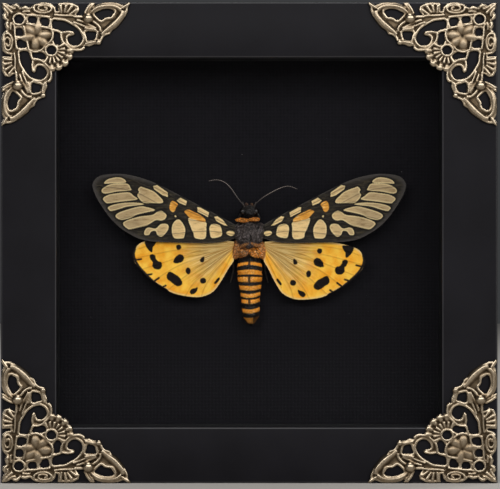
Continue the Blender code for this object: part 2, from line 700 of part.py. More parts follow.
def build():
    clear_scene()
    parts = new_collection("Framed tiger moth")
    cutters = new_collection("Cutters")
    black_paint = material("Black satin paint", (0.012, 0.011, 0.013), 0.45)
    glass = material("Picture glass", (1.0, 1.0, 1.0), 0.02, transmission=1.0)
    black_board = material("Black board", (0.01, 0.01, 0.011), 0.8)
    cloth = material("Black cloth", (0.008, 0.008, 0.009), 0.9)
    panel_finish = material("Black hardboard", (0.02, 0.018, 0.016), 0.8)
    steel = material("Zinc plated steel", (0.55, 0.54, 0.5), 0.35, metallic=1.0)
    brass = material("Antique brass", (0.36, 0.26, 0.14), 0.4, metallic=1.0)
    forewing = material("Forewing scales", (0.03, 0.03, 0.03), 0.6)
    hindwing = material("Hindwing scales", (0.75, 0.38, 0.05), 0.6)
    dark_fur = material("Dark fur", (0.05, 0.045, 0.05), 0.8)
    orange_fur = material("Orange fur", (0.7, 0.28, 0.05), 0.7)
    cuticle = material("Dark cuticle", (0.04, 0.035, 0.03), 0.5)

    rails = moulding(black_paint, parts)
    sheets = inner_boards(glass, black_board, cloth, panel_finish, parts)
    retaining_tabs(rails, steel, parts, cutters)
    hanger(sheets["back_panel"], steel, parts, cutters)
    for name, side_x, side_z in (
        ("top_left_filigree", -1, 1),
        ("top_right_filigree", 1, 1),
        ("bottom_left_filigree", -1, -1),
        ("bottom_right_filigree", 1, -1),
    ):
        filigree_corner(name, side_x, side_z, brass, parts, cutters)
    wings(forewing, hindwing, parts)
    head(dark_fur, parts, cutters)
    thorax(dark_fur, parts, cutters)
    abdomen(orange_fur, parts)
    antennae_and_legs(cuticle, parts)
    mounting_pin(sheets["backing_board"], steel, parts, cutters)


build()
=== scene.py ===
import math
import random

import bmesh
import bpy
import numpy as np
from mathutils import Matrix, Vector, noise


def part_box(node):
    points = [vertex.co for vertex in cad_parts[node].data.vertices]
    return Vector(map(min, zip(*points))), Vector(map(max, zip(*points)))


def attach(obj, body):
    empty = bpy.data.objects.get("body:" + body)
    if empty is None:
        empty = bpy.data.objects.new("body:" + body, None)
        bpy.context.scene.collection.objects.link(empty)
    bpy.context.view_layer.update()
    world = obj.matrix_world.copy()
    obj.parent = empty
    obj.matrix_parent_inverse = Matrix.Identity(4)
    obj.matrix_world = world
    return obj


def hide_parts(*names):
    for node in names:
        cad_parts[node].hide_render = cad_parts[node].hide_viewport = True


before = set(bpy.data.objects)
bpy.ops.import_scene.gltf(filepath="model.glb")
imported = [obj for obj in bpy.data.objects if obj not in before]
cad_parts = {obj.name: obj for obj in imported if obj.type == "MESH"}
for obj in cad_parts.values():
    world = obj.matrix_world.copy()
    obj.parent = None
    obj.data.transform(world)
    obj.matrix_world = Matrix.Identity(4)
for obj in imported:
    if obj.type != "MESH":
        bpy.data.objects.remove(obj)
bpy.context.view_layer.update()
mm = 0.001
upright = math.radians(90)
beyond = 9.0  # further than any mark on a wing reaches


def edgesOf(node):  # a node's lowest and highest corners, in mm
    return [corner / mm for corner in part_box(node)]


frontY = edgesOf("bottom_rail")[0].y  # the rails' face
backY = edgesOf("bottom_rail")[1].y
halfWidth = edgesOf("bottom_rail")[1].x
halfHeight = edgesOf("top_rail")[1].z / 2
railWidth = edgesOf("bottom_rail")[1].z
thoraxRise = 0.4  # the thorax's middle, above the line that the moth is measured from
mothZ = (edgesOf("thorax")[0].z + edgesOf("thorax")[1].z) / 2 - thoraxRise


# Shared helpers

def linear(hexColour):  # an sRGB hex colour as linear light
    parts = [int(hexColour[i:i + 2], 16) / 255 for i in (1, 3, 5)]
    return tuple(c / 12.92 if c <= 0.04045 else ((c + 0.055) / 1.055) ** 2.4 for c in parts) + (1.0,)


def addNode(tree, kind, inputs={}, stops=None, **settings):  # an input is a number, a colour or a link
    node = tree.nodes.new("ShaderNode" + kind)
    for name, value in settings.items():
        setattr(node, name, value)
    for name, value in inputs.items():
        if isinstance(value, bpy.types.NodeSocket):
            tree.links.new(value, node.inputs[name])
        else:
            node.inputs[name].default_value = value
    if stops:
        ramp = node.color_ramp.elements
        ramp.remove(ramp[1])  # a new ramp has two stops, and the first one is used again
        ramp[0].position = stops[0][0]
        ramp[0].color = linear(stops[0][1])
        for place, colour in stops[1:]:
            ramp.new(place).color = linear(colour)
    return node


def newMaterial(name, **values):  # returns the material, its tree and its shader
    made = bpy.data.materials.new(name)
    made.use_nodes = True
    shader = made.node_tree.nodes["Principled BSDF"]
    for socket, value in values.items():
        shader.inputs[socket.replace("_", " ")].default_value = value
    return made, made.node_tree, shader


def finished(mesh, name, material, slot, *nodes):  # an object that rides on the frame
    made = bpy.data.objects.new(name, mesh)
    bpy.context.scene.collection.objects.link(made)
    mesh.materials.clear()
    mesh.materials.append(material)
    mesh.polygons.foreach_set("use_smooth", [True] * len(mesh.polygons))
    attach(made, "root")
    if nodes:
        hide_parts(*nodes)
    return made


def meshOf(bm, name):
    mesh = bpy.data.meshes.new(name)
    bm.to_mesh(mesh)
    bm.free()
    return mesh


def smoothLine(points, steps=6, closed=False):  # a round line through the points
    points = np.asarray(points, float)
    last = len(points) - 1
    made = []
    for i in range(last + closed):
        if closed:
            a, b, c, d = (points[(i + k - 1) % (last + 1)] for k in range(4))
        else:
            a, b, c, d = (points[min(max(i + k - 1, 0), last)] for k in range(4))
        for t in np.arange(steps) / steps:
            square, cube = a * 2 - b * 5 + c * 4 - d, b * 3 - a - c * 3 + d
            made.append(b + (c - a) * t / 2 + square * t**2 / 2 + cube * t**3 / 2)
    if not closed:
        made.append(points[-1])
    return np.array(made)


def pointsAlong(line, shares):  # the points at shares of a line's length
    lengths = np.concatenate([[0], np.cumsum(np.linalg.norm(np.diff(line, axis=0), axis=1))])
    return np.stack([np.interp(shares * lengths[-1], lengths, values) for values in line.T], axis=1)


def farFrom(places, line, closed=False):  # each place's distance from a line, and whether it is inside it
    nearest = np.full(len(places), beyond)
    inside = np.zeros(len(places), bool)
    ends = np.roll(line, -1, axis=0) if closed else line[1:]
    for a, b in zip(line, ends):
        way = b - a
        share = np.clip((places - a) @ way / (way @ way + 1e-12), 0, 1)
        nearest = np.minimum(nearest, np.linalg.norm(places - a - share[:, None] * way, axis=1))
        if a[1] != b[1]:
            crossing = a[0] + (places[:, 1] - a[1]) / (b[1] - a[1]) * way[0]
            inside ^= ((a[1] > places[:, 1]) != (b[1] > places[:, 1])) & (places[:, 0] < crossing)
    return nearest, inside


def depthInside(places, outlines, rounding=4):  # mm inside the nearest outline, or negative outside
    deepest = np.full(len(places), -beyond)
    for outline in outlines:
        nearest, inside = farFrom(places, smoothLine(outline, rounding, closed=True), closed=True)
        deepest = np.maximum(deepest, np.where(inside, nearest, -nearest))
    return deepest


def setValues(mesh, name, values, kind="FLOAT"):
    layer = mesh.attributes.new(name, kind, "POINT")
    layer.data.foreach_set("vector" if kind == "FLOAT_VECTOR" else "value", np.ravel(values))


def placesOf(mesh):
    flat = np.empty(len(mesh.vertices) * 3)
    mesh.vertices.foreach_get("co", flat)
    return flat.reshape(-1, 3)


def movePlaces(mesh, places):
    mesh.vertices.foreach_set("co", np.ravel(places))
    mesh.update()


def evaluatedMesh(obj, name):  # the mesh that an object's modifiers or curve make
    bpy.context.view_layer.update()
    graph = bpy.context.evaluated_depsgraph_get()
    mesh = bpy.data.meshes.new_from_object(obj.evaluated_get(graph))
    mesh.name = name
    bpy.data.objects.remove(obj)
    return mesh


# Camera, lights and floor

studio = {
    "cameraPlace": (0.00022, -1.0165, 0.06705),  # metres
    "lens": 256.3,
    "sensorWidth": 36,
    "clipStart": 0.05,  # metres
    "worldColour": "#F2F4F8",
    "worldStrength": 0.05,
    "floorColour": "#BDB9B3",
    "floorReach": 2.0,  # metres, from its middle to its sides
    "lights": {  # azimuth and elevation in degrees, distance, width and height in metres, watts
        "key": (9, 21.5, 1.05, 1.8, 0.46, 9.8),
        "top": (4, 74, 1.1, 0.5, 0.5, 4.6),
        "rightRear": (135, 30, 1.6, 0.8, 0.8, 7),
        "leftRear": (-130, 25, 1.6, 0.8, 0.8, 6),
    },
}


def setUpStudio():
    camera = bpy.data.objects.new("camera", bpy.data.cameras.new("camera"))
    camera.data.lens = studio["lens"]
    camera.data.sensor_width = studio["sensorWidth"]
    camera.data.clip_start = studio["clipStart"]
    camera.location = studio["cameraPlace"]
    camera.rotation_euler = (upright, 0, 0)
    bpy.context.scene.collection.objects.link(camera)
    bpy.context.scene.camera = camera
    middle = Vector((0, 0, halfHeight * mm))
    for name, (azimuth, elevation, distance, width, height, watts) in studio["lights"].items():
        data = bpy.data.lights.new(name, "AREA")
        data.shape = "RECTANGLE"
        data.size = width
        data.size_y = height
        data.energy = watts
        light = bpy.data.objects.new(name, data)
        a, e = math.radians(azimuth), math.radians(elevation)
        way = Vector((math.sin(a) * math.cos(e), -math.cos(a) * math.cos(e), math.sin(e)))
        light.location = middle + way * distance
        light.rotation_euler = way.to_track_quat("Z", "Y").to_euler()
        bpy.context.scene.collection.objects.link(light)
    world = bpy.data.worlds.new("studio")
    world.use_nodes = True
    background = world.node_tree.nodes["Background"]
    background.inputs["Color"].default_value = linear(studio["worldColour"])
    background.inputs["Strength"].default_value = studio["worldStrength"]
    bpy.context.scene.world = world
    bpy.context.scene.view_settings.view_transform = "Standard"
    bm = bmesh.new()
    bmesh.ops.create_grid(bm, x_segments=1, y_segments=1, size=studio["floorReach"])
    floorMesh = meshOf(bm, "floor")
    floor = bpy.data.objects.new("floor", floorMesh)
    paint, _, _ = newMaterial("Pale floor", Base_Color=linear(studio["floorColour"]), Roughness=0.8)
    floorMesh.materials.append(paint)
    bpy.context.scene.collection.objects.link(floor)


setUpStudio()
print("camera, lights and floor are in place")


# Materials of the box

def satinLacquer():
    # Black satin lacquer, sprayed on a wood moulding: soft highlights, faint orange peel, rubbed arrises.
    made, tree, shader = newMaterial("Black satin lacquer")
    place = addNode(tree, "TexCoord").outputs["Object"]
    arris = addNode(tree, "Attribute", attribute_name="arris").outputs["Fac"]  # 1 on the rounded arrises
    level = addNode(tree, "MapRange", {"Value": arris, "To Min": 0.07, "To Max": 0.5})
    cloud = addNode(tree, "TexNoise", {"Vector": place, "Scale": 1 / (16.7 * mm), "Detail": 4})
    peel = addNode(tree, "TexNoise", {"Vector": place, "Scale": 1 / (0.5 * mm), "Detail": 3})
    tone = addNode(tree, "ValToRGB", {"Fac": cloud.outputs["Fac"]}, [(0.3, "#161518"), (0.7, "#1C1B1F")])
    gloss = addNode(tree, "MapRange", {"Value": cloud.outputs["Fac"], "To Min": 0.4, "To Max": 0.5})
    bump = addNode(tree, "Bump", {"Height": peel.outputs["Fac"], "Strength": 0.25, "Distance": 0.03 * mm})
    tree.links.new(tone.outputs["Color"], shader.inputs["Base Color"])
    tree.links.new(gloss.outputs["Result"], shader.inputs["Roughness"])
    tree.links.new(level.outputs["Result"], shader.inputs["Specular IOR Level"])
    tree.links.new(bump.outputs["Normal"], shader.inputs["Normal"])
    return made


def mountBoard():
    # Black mount board, solid dyed card: dead matt, with a faint fibre.
    made, tree, shader = newMaterial("Black mount board", Roughness=0.9, Specular_IOR_Level=0.25)
    place = addNode(tree, "TexCoord").outputs["Object"]
    fibre = addNode(tree, "TexNoise", {"Vector": place, "Scale": 1 / (0.3 * mm), "Detail": 5})
    tone = addNode(tree, "ValToRGB", {"Fac": fibre.outputs["Fac"]}, [(0.35, "#0C0C0E"), (0.7, "#151517")])
    bump = addNode(tree, "Bump", {"Height": fibre.outputs["Fac"], "Strength": 0.4, "Distance": 0.04 * mm})
    tree.links.new(tone.outputs["Color"], shader.inputs["Base Color"])
    tree.links.new(bump.outputs["Normal"], shader.inputs["Normal"])
    return made


def bookCloth():
    # Black book cloth, a plain cotton weave glued to board: matt, with a fine square grid and caught fibres.
    # The weave is coarser than real cloth, to show in the render: each wave is about two threads long.
    thread = 0.5 * mm
    made, tree, shader = newMaterial(
        "Black book cloth", Roughness=0.85, Specular_IOR_Level=0.1, Sheen_Weight=0.01
    )
    place = addNode(tree, "TexCoord").outputs["Object"]
    waves = []
    for direction in ("X", "Z"):
        waves.append(addNode(
            tree, "TexWave",
            {
                "Vector": place, "Scale": 1 / thread / math.tau, "Distortion": 0.6, "Detail": 2,
                "Detail Scale": 3,
            },
            wave_type="BANDS", bands_direction=direction,
        ).outputs["Fac"])
    weave = addNode(tree, "Math", {0: waves[0], 1: waves[1]}, operation="ADD")
    slub = addNode(tree, "TexNoise", {"Vector": place, "Scale": 1 / (2 * mm), "Detail": 6, "Roughness": 0.6})
    mixed = addNode(
        tree, "Math", {0: weave.outputs[0], 1: 0.3, 2: slub.outputs["Fac"]}, operation="MULTIPLY_ADD"
    )
    tone = addNode(tree, "ValToRGB", {"Fac": mixed.outputs[0]}, [(0.3, "#0A0A0D"), (0.95, "#17161A")])
    fleck = addNode(tree, "TexVoronoi", {"Vector": place, "Scale": 1 / (9 * mm), "Randomness": 1.0})
    bright = addNode(
        tree, "MapRange", {"Value": fleck.outputs["Distance"], "From Min": 0.02, "From Max": 0.0}
    ).outputs["Result"]
    colour = addNode(
        tree, "Mix", {0: bright, 6: tone.outputs["Color"], 7: linear("#8C8A86")}, data_type="RGBA"
    )
    bump = addNode(tree, "Bump", {"Height": mixed.outputs[0], "Strength": 0.6, "Distance": 0.08 * mm})
    tree.links.new(colour.outputs[2], shader.inputs["Base Color"])
    tree.links.new(bump.outputs["Normal"], shader.inputs["Normal"])
    return made


def hardboard():
    # Black-faced hardboard, pressed wood fibre: dark brown-black, slightly shiny, with flattened fibres.
    made, tree, shader = newMaterial("Black-faced hardboard", Roughness=0.6)
    place = addNode(tree, "TexCoord").outputs["Object"]
    fibre = addNode(
        tree, "TexNoise", {"Vector": place, "Scale": 1 / (1.2 * mm), "Detail": 8, "Distortion": 1.5}
    )
    tone = addNode(tree, "ValToRGB", {"Fac": fibre.outputs["Fac"]}, [(0.35, "#1A1715"), (0.7, "#37302B")])
    bump = addNode(tree, "Bump", {"Height": fibre.outputs["Fac"], "Strength": 0.3, "Distance": 0.05 * mm})
    tree.links.new(tone.outputs["Color"], shader.inputs["Base Color"])
    tree.links.new(bump.outputs["Normal"], shader.inputs["Normal"])
    return made


def zincPlate():
    # Bright zinc plate on pressed steel strip: silvery, with faint drawn lines and a warm cloudiness.
    made, tree, shader = newMaterial("Bright zinc plate", Metallic=1.0)
    place = addNode(tree, "TexCoord").outputs["Object"]
    cloud = addNode(tree, "TexNoise", {"Vector": place, "Scale": 1 / (3 * mm), "Detail": 4})
    lengthways = addNode(tree, "Mapping", {"Vector": place, "Scale": (1.0, 12.0, 12.0)}).outputs["Vector"]
    drawn = addNode(tree, "TexNoise", {"Vector": lengthways, "Scale": 1 / (2 * mm), "Detail": 3})
    tone = addNode(tree, "ValToRGB", {"Fac": cloud.outputs["Fac"]}, [(0.35, "#A8A6A0"), (0.7, "#CBC8BE")])
    gloss = addNode(tree, "MapRange", {"Value": drawn.outputs["Fac"], "To Min": 0.22, "To Max": 0.42})
    bump = addNode(tree, "Bump", {"Height": drawn.outputs["Fac"], "Strength": 0.15, "Distance": 0.02 * mm})
    tree.links.new(tone.outputs["Color"], shader.inputs["Base Color"])
    tree.links.new(gloss.outputs["Result"], shader.inputs["Roughness"])
    tree.links.new(bump.outputs["Normal"], shader.inputs["Normal"])
    return made


def pinSteel():
    # A drawn steel insect pin: dull dark grey, with fine lines round it from the drawing.
    made, tree, shader = newMaterial("Pin steel", Metallic=1.0)
    place = addNode(tree, "TexCoord").outputs["Object"]
    drawn = addNode(tree, "TexNoise", {"Vector": place, "Scale": 1 / (0.15 * mm), "Detail": 3})
    tone = addNode(tree, "ValToRGB", {"Fac": drawn.outputs["Fac"]}, [(0.3, "#3A3836"), (0.7, "#5C5956")])
    gloss = addNode(tree, "MapRange", {"Value": drawn.outputs["Fac"], "To Min": 0.45, "To Max": 0.6})
    tree.links.new(tone.outputs["Color"], shader.inputs["Base Color"])
    tree.links.new(gloss.outputs["Result"], shader.inputs["Roughness"])
    return made


def pictureGlass():
    # Clear float glass: light passes straight through it, and only a trace of a mirror image stays. It is
    # metallic because a plain finish would add a haze of its own, even at this opacity.
    made, tree, shader = newMaterial("Picture glass", Base_Color=linear("#EAF2EE"), Metallic=1.0, Alpha=0.001)
    place = addNode(tree, "TexCoord").outputs["Object"]
    haze = addNode(tree, "TexNoise", {"Vector": place, "Scale": 1 / (20 * mm), "Detail": 3})
    gloss = addNode(tree, "MapRange", {"Value": haze.outputs["Fac"], "To Min": 0.01, "To Max": 0.05})
    tree.links.new(gloss.outputs["Result"], shader.inputs["Roughness"])
    return made


def antiqueBrass():
    # Antique brass plate on a thin casting: darkened, then rubbed back, so only its ridges shine.
    made, tree, shader = newMaterial("Antique brass")
    relief = addNode(tree, "Attribute", attribute_name="relief").outputs["Fac"]  # as reliefValues gives it
    place = addNode(tree, "TexCoord").outputs["Object"]
    blotch = addNode(
        tree, "TexNoise", {"Vector": place, "Scale": 1 / (1.5 * mm), "Detail": 5, "Roughness": 0.6}
    ).outputs["Fac"]
    grain = addNode(tree, "TexNoise", {"Vector": place, "Scale": 1 / (0.25 * mm), "Detail": 2})
    rubbed = addNode(tree, "MapRange", {"Value": relief, "From Min": -0.3, "From Max": 0.24})
    uneven = addNode(
        tree, "Math", {0: blotch, 1: 0.3, 2: rubbed.outputs["Result"]}, operation="MULTIPLY_ADD"
    ).outputs[0]
    tone = addNode(
        tree, "ValToRGB", {"Fac": uneven},
        [(0.28, "#0B0704"), (0.48, "#382D1F"), (0.74, "#7B6A54"), (1.0, "#BCAC94")],
    )
    gloss = addNode(tree, "MapRange", {"Value": uneven, "To Min": 0.6, "To Max": 0.24})
    metal = addNode(tree, "MapRange", {"Value": uneven, "From Max": 0.6, "To Min": 0.8, "To Max": 1.0})
    bump = addNode(tree, "Bump", {"Height": grain.outputs["Fac"], "Strength": 0.35, "Distance": 0.05 * mm})
    tree.links.new(tone.outputs["Color"], shader.inputs["Base Color"])
    tree.links.new(gloss.outputs["Result"], shader.inputs["Roughness"])
    tree.links.new(metal.outputs["Result"], shader.inputs["Metallic"])
    tree.links.new(bump.outputs["Normal"], shader.inputs["Normal"])
    return made


def finishNodes():  # the frame's own nodes whose shape is right
    zinc = zincPlate()
    finishes = {  # by a word in the node's name
        "backing_board": bookCloth(), "back_panel": hardboard(), "glass_pane": pictureGlass(),
        "spacer": mountBoard(), "_tab_": zinc, "hanger": zinc, "mounting_pin": pinSteel(),
    }
    for name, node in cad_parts.items():
        for word, finish in finishes.items():
            if word in name:
                node.data.materials.clear()
                node.data.materials.append(finish)


finishNodes()
print("boards, glass and fittings are finished")


# The moulding: four rails with soft arrises and tight mitres

moulding = {
    "mitreGap": 0.04,
    "arris": 0.45,
    "arrisSegments": 3,
    "clearance": 0.3,  # between the rebate and what lies in it
    "sharpDeg": 50,  # edges that bend more than this stay sharp
}


def makeRail(name, length, halfDistance, turnDeg, lacquer):
    glass = edgesOf("glass_pane")
    outer, inner = -halfDistance, -halfDistance + railWidth
    wall = outer + halfWidth - glass[1].x - moulding["clearance"]
    lipY = glass[0].y - moulding["clearance"]
    profile = [(frontY, outer), (frontY, inner), (lipY, inner), (lipY, wall), (backY, wall), (backY, outer)]
    bm = bmesh.new()
    end = bm.faces.new([bm.verts.new((-length / 2, y, z)) for y, z in profile])
    pulled = bmesh.ops.extrude_face_region(bm, geom=[end])["geom"]
    farEnd = [part for part in pulled if isinstance(part, bmesh.types.BMVert)]
    bmesh.ops.translate(bm, vec=(length, 0, 0), verts=farEnd)
    for side in (-1, 1):
        bmesh.ops.bisect_plane(
            bm, geom=bm.verts[:] + bm.edges[:] + bm.faces[:], clear_outer=True, plane_no=(side, 0, 1),
            plane_co=(side * (length / 2 - moulding["mitreGap"] / 2), 0, outer),
        )
        bmesh.ops.holes_fill(bm, edges=[edge for edge in bm.edges if edge.is_boundary])
    bmesh.ops.recalc_face_normals(bm, faces=bm.faces)
    arris = bm.faces.layers.float.new("arris")
    lengthways = [edge for edge in bm.edges if abs(edge.verts[0].co.x - edge.verts[1].co.x) > length / 3]
    shown = [edge for edge in lengthways if edge.calc_face_angle_signed() > 0]
    rounded = bmesh.ops.bevel(
        bm, geom=shown, affect="EDGES", offset=moulding["arris"], segments=moulding["arrisSegments"],
        profile=0.5, material=-1,
    )["faces"]
    for face in rounded:
        face[arris] = 1.0
    stand = Matrix.Translation((0, 0, halfHeight)) @ Matrix.Rotation(math.radians(turnDeg), 4, "Y")
    bmesh.ops.transform(bm, matrix=Matrix.Scale(mm, 4) @ stand, verts=bm.verts)
    made = finished(meshOf(bm, name), name, lacquer, "black_paint", name.replace("Rail", "_rail"))
    made.data.set_sharp_from_angle(angle=math.radians(moulding["sharpDeg"]))


def makeMoulding():
    lacquer = satinLacquer()
    makeRail("bottomRail", halfWidth * 2, halfHeight, 0, lacquer)
    makeRail("leftRail", halfHeight * 2, halfWidth, 90, lacquer)
    makeRail("topRail", halfWidth * 2, halfHeight, 180, lacquer)
    makeRail("rightRail", halfHeight * 2, halfWidth, -90, lacquer)


makeMoulding()
print("the moulding is made")


# Filigree corners. Points are (along the level leg, along the upright leg) from the frame's outer corner,
# and only the level leg is drawn: the other is its reflection in the diagonal.

filigree = {
    "plateThick": 0.85,
    "offFace": 0.05,
    "uprightShare": 0.955,  # the leg that stands up is this much shorter
    "voxel": 0.146,
    "smoothing": 5,
    "reliefPasses": 36,  # how widely each point is compared with those about it
    "strokeHeight": 0.92,  # of a stroke's middle
    "sinkFrom": 0.35,  # a stroke of a greater radius lies deeper, so that it stays low
    "sink": 0.8,
    "plump": 1.25,  # of the drawn radii
    "rimInset": 0.3,  # the bead that runs round each edge of the plate
    "rimRadius": 0.48,
    "rimHeight": 0.68,
    "balls": (((24.6, 4.8), 1.6), ((27.5, 11.9), 0.9)),  # on the level leg: middle, radius
    "ballFlatness": 0.75,
    "domeLevel": 0.85,  # of the middles of balls, petals and pads
    "flowerCentre": (10.0, 10.0),
    "petalReach": 2.3,  # from the flower's middle to a petal's
    "petalHalf": (2.1, 1.38, 0.46),
    "petalAnglesDeg": (-6, 45, 96, 170, 225, 280),
    "cornerRing": (5.15, 5.15),
    "cornerRingHole": 1.38,
    "ringRadius": 1.62,
    "ringWidths": (0.3, 0.3),
}
shell = {
    "ring": (14.25, 14.25),
    "ringHole": 1.25,
    "lobesDeg": (1, 20, 45, 68, 89),
    "lobeEdge": ((-7, 6.15), (0, 6.3), (7, 6.15)),  # degrees from the lobe's middle, reach
    "notchReach": 5.55,
    "pads": ((4.75, (0.7, 0.72, 0.42)), (5.5, (0.85, 0.95, 0.48))),  # reach, half sizes
    "ribs": 8,
    "ribStepDeg": 20.5,
    "ribsFromDeg": -26.5,
    "ribReach": (2.0, 3.9),
    "ribRadii": (0.2, 0.36, 0.46),
}
spiral = {  # the flat one on each leg
    "centre": (12.1, 2.0),
    "turns": 1.8,
    "steps": 44,
    "startDeg": 160,
    "wide": 2.85,
    "wideLoss": 2.2,  # from its start to its end
    "high": 1.5,
    "highLoss": 1.2,
    "radii": (0.34, 0.28, 0.26),
}
outerCorner = (0.4, 0.4)
legEdge = [
    (1.7, 0.55), (2.65, 1.4), (4.2, 0.6), (5.5, 1.8), (7.0, 1.25), (8.15, 1.8), (9.55, 0.75),
    (11.25, 0.35), (12.8, 0.35), (14.3, 0.65), (15.3, 1.6), (15.6, 3.0), (16.15, 3.0), (16.1, 0.45),
    (18.55, 0.35), (20.2, 0.5), (21.8, 1.3), (22.1, 2.5), (20.9, 4.15), (23.4, 4.15), (23.75, 2.8),
    (25.15, 0.4), (26.5, 0.4), (25.85, 1.6), (27.0, 0.9), (28.65, 0.4), (31.2, 0.3), (33.0, 0.5),
    (34.4, 1.1), (35.8, 0.3), (36.5, 0.5), (35.8, 1.3), (35.7, 2.65), (35.0, 4.25), (33.4, 6.0),
    (31.2, 8.5), (30.6, 9.6), (29.1, 9.8), (28.4, 10.7), (28.3, 11.9), (27.7, 12.65), (26.3, 12.5),
    (24.9, 13.1), (23.75, 12.95), (23.0, 13.95), (21.9, 14.4), (20.65, 14.1),
]
legHoles = [
    [  # inside the loop
        (26.3, 3.4), (27.4, 2.7), (28.5, 2.2), (29.9, 2.0), (31.3, 2.25), (31.9, 2.8),
        (31.7, 3.75), (31.2, 4.55), (29.85, 4.65), (28.95, 5.0), (28.25, 5.5), (27.1, 4.55),
    ],
    [(23.85, 8.8), (26.7, 8.75), (26.75, 9.85), (26.4, 11.0), (25.3, 11.45), (24.4, 11.45), (24.1, 10.3)],
    [  # inside the scroll
        (14.6, 5.45), (16.15, 5.4), (18.0, 5.65), (19.65, 6.55), (20.95, 7.35), (22.05, 8.4), (22.8, 9.85),
        (22.95, 11.15), (22.35, 12.3), (21.2, 12.95), (20.0, 12.8), (19.1, 12.0), (18.75, 11.0),
        (19.1, 10.15), (20.65, 9.7), (20.55, 8.95), (19.4, 8.7), (17.05, 8.8), (16.15, 8.3), (14.6, 7.7),
    ],
    [(7.95, 4.25), (10.0, 4.4), (9.9, 6.3), (7.85, 6.05)],
    [(11.2, 4.7), (13.55, 4.95), (13.25, 7.25), (11.25, 6.85)],
    [
        (14.9, 8.9), (16.75, 9.3), (16.85, 10.35), (17.05, 11.4), (16.9, 12.3), (16.0, 12.8),
        (15.2, 12.2), (14.7, 11.0),
    ],
]
# Raised strokes of one leg: points, then the radius at the start, middle and end.
legStrokes = {
    "latticeTop": ([(6.5, 3.6), (7.6, 3.9), (10.5, 4.1), (14.0, 4.55)], (0.3, 0.3, 0.3)),
    "latticeFoot": ([(7.0, 6.4), (9.9, 7.05), (13.4, 7.75), (14.3, 8.0)], (0.3, 0.33, 0.3)),
    "hookBar": ([(14.6, 8.25), (16.9, 8.9)], (0.34, 0.32, 0.3)),
    "flowerRim": ([(14.05, 7.95), (14.75, 9.7), (14.05, 11.6), (12.4, 12.9)], (0.28, 0.34, 0.25)),
    "hook": (
        [
            (16.9, 8.9), (16.95, 10.3), (17.3, 11.4), (18.1, 12.35), (19.1, 13.4), (20.4, 14.05),
            (21.9, 14.2), (22.9, 13.95), (23.5, 13.3),
        ],
        (0.28, 0.32, 0.45),
    ),
    "hookSpine": ([(17.5, 9.0), (18.6, 8.85), (19.7, 9.0), (20.4, 9.2)], (0.22, 0.28, 0.42)),
    "windowTop": ([(23.5, 7.7), (25.0, 8.05), (26.8, 8.3)], (0.3, 0.36, 0.34)),
    "windowFoot": ([(23.7, 12.35), (25.3, 12.0), (26.4, 11.8), (28.0, 11.9)], (0.38, 0.36, 0.42)),
    "knob": (
        [(27.6, 11.9), (27.95, 11.5), (28.3, 10.9), (28.6, 10.3), (29.3, 9.75), (30.4, 9.3)],
        (0.46, 0.34, 0.28),
    ),
    "loopUpper": (
        [(25.0, 3.6), (26.2, 2.3), (27.6, 1.55), (29.2, 1.2), (31.0, 1.15), (32.6, 1.5), (33.8, 2.4)],
        (0.34, 0.62, 0.75),
    ),
    "loopOuter": (
        [(34.3, 2.5), (34.1, 3.8), (33.0, 5.3), (31.7, 6.7), (30.3, 7.9), (29.2, 8.8), (28.3, 9.8)],
        (0.8, 1.2, 0.6),
    ),
    "loopLeaf": (
        [(31.75, 3.5), (31.25, 4.4), (30.5, 4.75), (29.7, 4.8), (29.0, 5.15), (28.3, 5.75)],
        (0.2, 0.2, 0.16),
    ),
    "tip": ([(34.2, 1.8), (35.2, 1.1), (36.1, 0.65)], (0.5, 0.36, 0.24)),
    "tongue": ([(23.6, 3.6), (24.35, 2.0), (25.3, 0.75)], (0.3, 0.34, 0.3)),
    "tongueEdge": ([(24.5, 3.4), (25.2, 1.9), (26.1, 0.7)], (0.22, 0.26, 0.22)),
    "stemUpper": ([(20.7, 4.45), (22.0, 4.45), (23.3, 4.5)], (0.3, 0.4, 0.34)),
    "stemMiddle": ([(21.2, 5.35), (22.4, 5.65), (23.5, 6.1)], (0.24, 0.34, 0.28)),
    "stemBelowFan": ([(14.9, 3.8), (16.9, 4.05), (19.3, 4.1), (21.0, 4.3)], (0.26, 0.28, 0.26)),
    "stemLower": ([(20.3, 6.0), (21.8, 6.5), (23.5, 7.2), (25.0, 7.5), (26.4, 7.9)], (0.28, 0.26, 0.28)),
    "stemToLoop": ([(25.9, 5.7), (27.1, 6.6), (27.9, 7.7), (28.0, 8.8)], (0.42, 0.4, 0.36)),
    "stemUnderBead": ([(23.7, 6.3), (25.3, 7.0), (26.9, 7.8)], (0.3, 0.28, 0.3)),
    "fanRib1": ([(17.1, 3.4), (16.8, 1.0)], (0.26, 0.42, 0.5)),
    "fanRib2": ([(17.9, 3.3), (18.4, 1.0)], (0.26, 0.42, 0.54)),
    "fanRib3": ([(18.6, 3.4), (20.0, 1.25)], (0.26, 0.42, 0.56)),
    "fanRib4": ([(19.3, 3.8), (21.3, 2.3)], (0.26, 0.42, 0.56)),
    "cornerLeaf": ([(2.0, 0.95), (3.3, 1.9), (4.4, 2.0)], (0.28, 0.4, 0.3)),
    "cornerBump": ([(3.6, 1.15), (4.5, 1.1), (5.2, 1.75)], (0.4, 0.5, 0.35)),
    "edgeBump": ([(5.9, 2.0), (6.9, 1.75), (7.9, 2.1)], (0.42, 0.5, 0.42)),
    "leafVein": ([(6.0, 3.0), (7.2, 2.8), (8.4, 2.9)], (0.3, 0.35, 0.25)),
}
middleStrokes = {"cornerPoint": ([(0.8, 0.8), (1.8, 1.8), (3.4, 3.4)], (0.35, 0.6, 0.5))}


def polar(centre, reach, angleDeg):
    angle = math.radians(angleDeg)
    return (centre[0] + reach * math.cos(angle), centre[1] + reach * math.sin(angle))


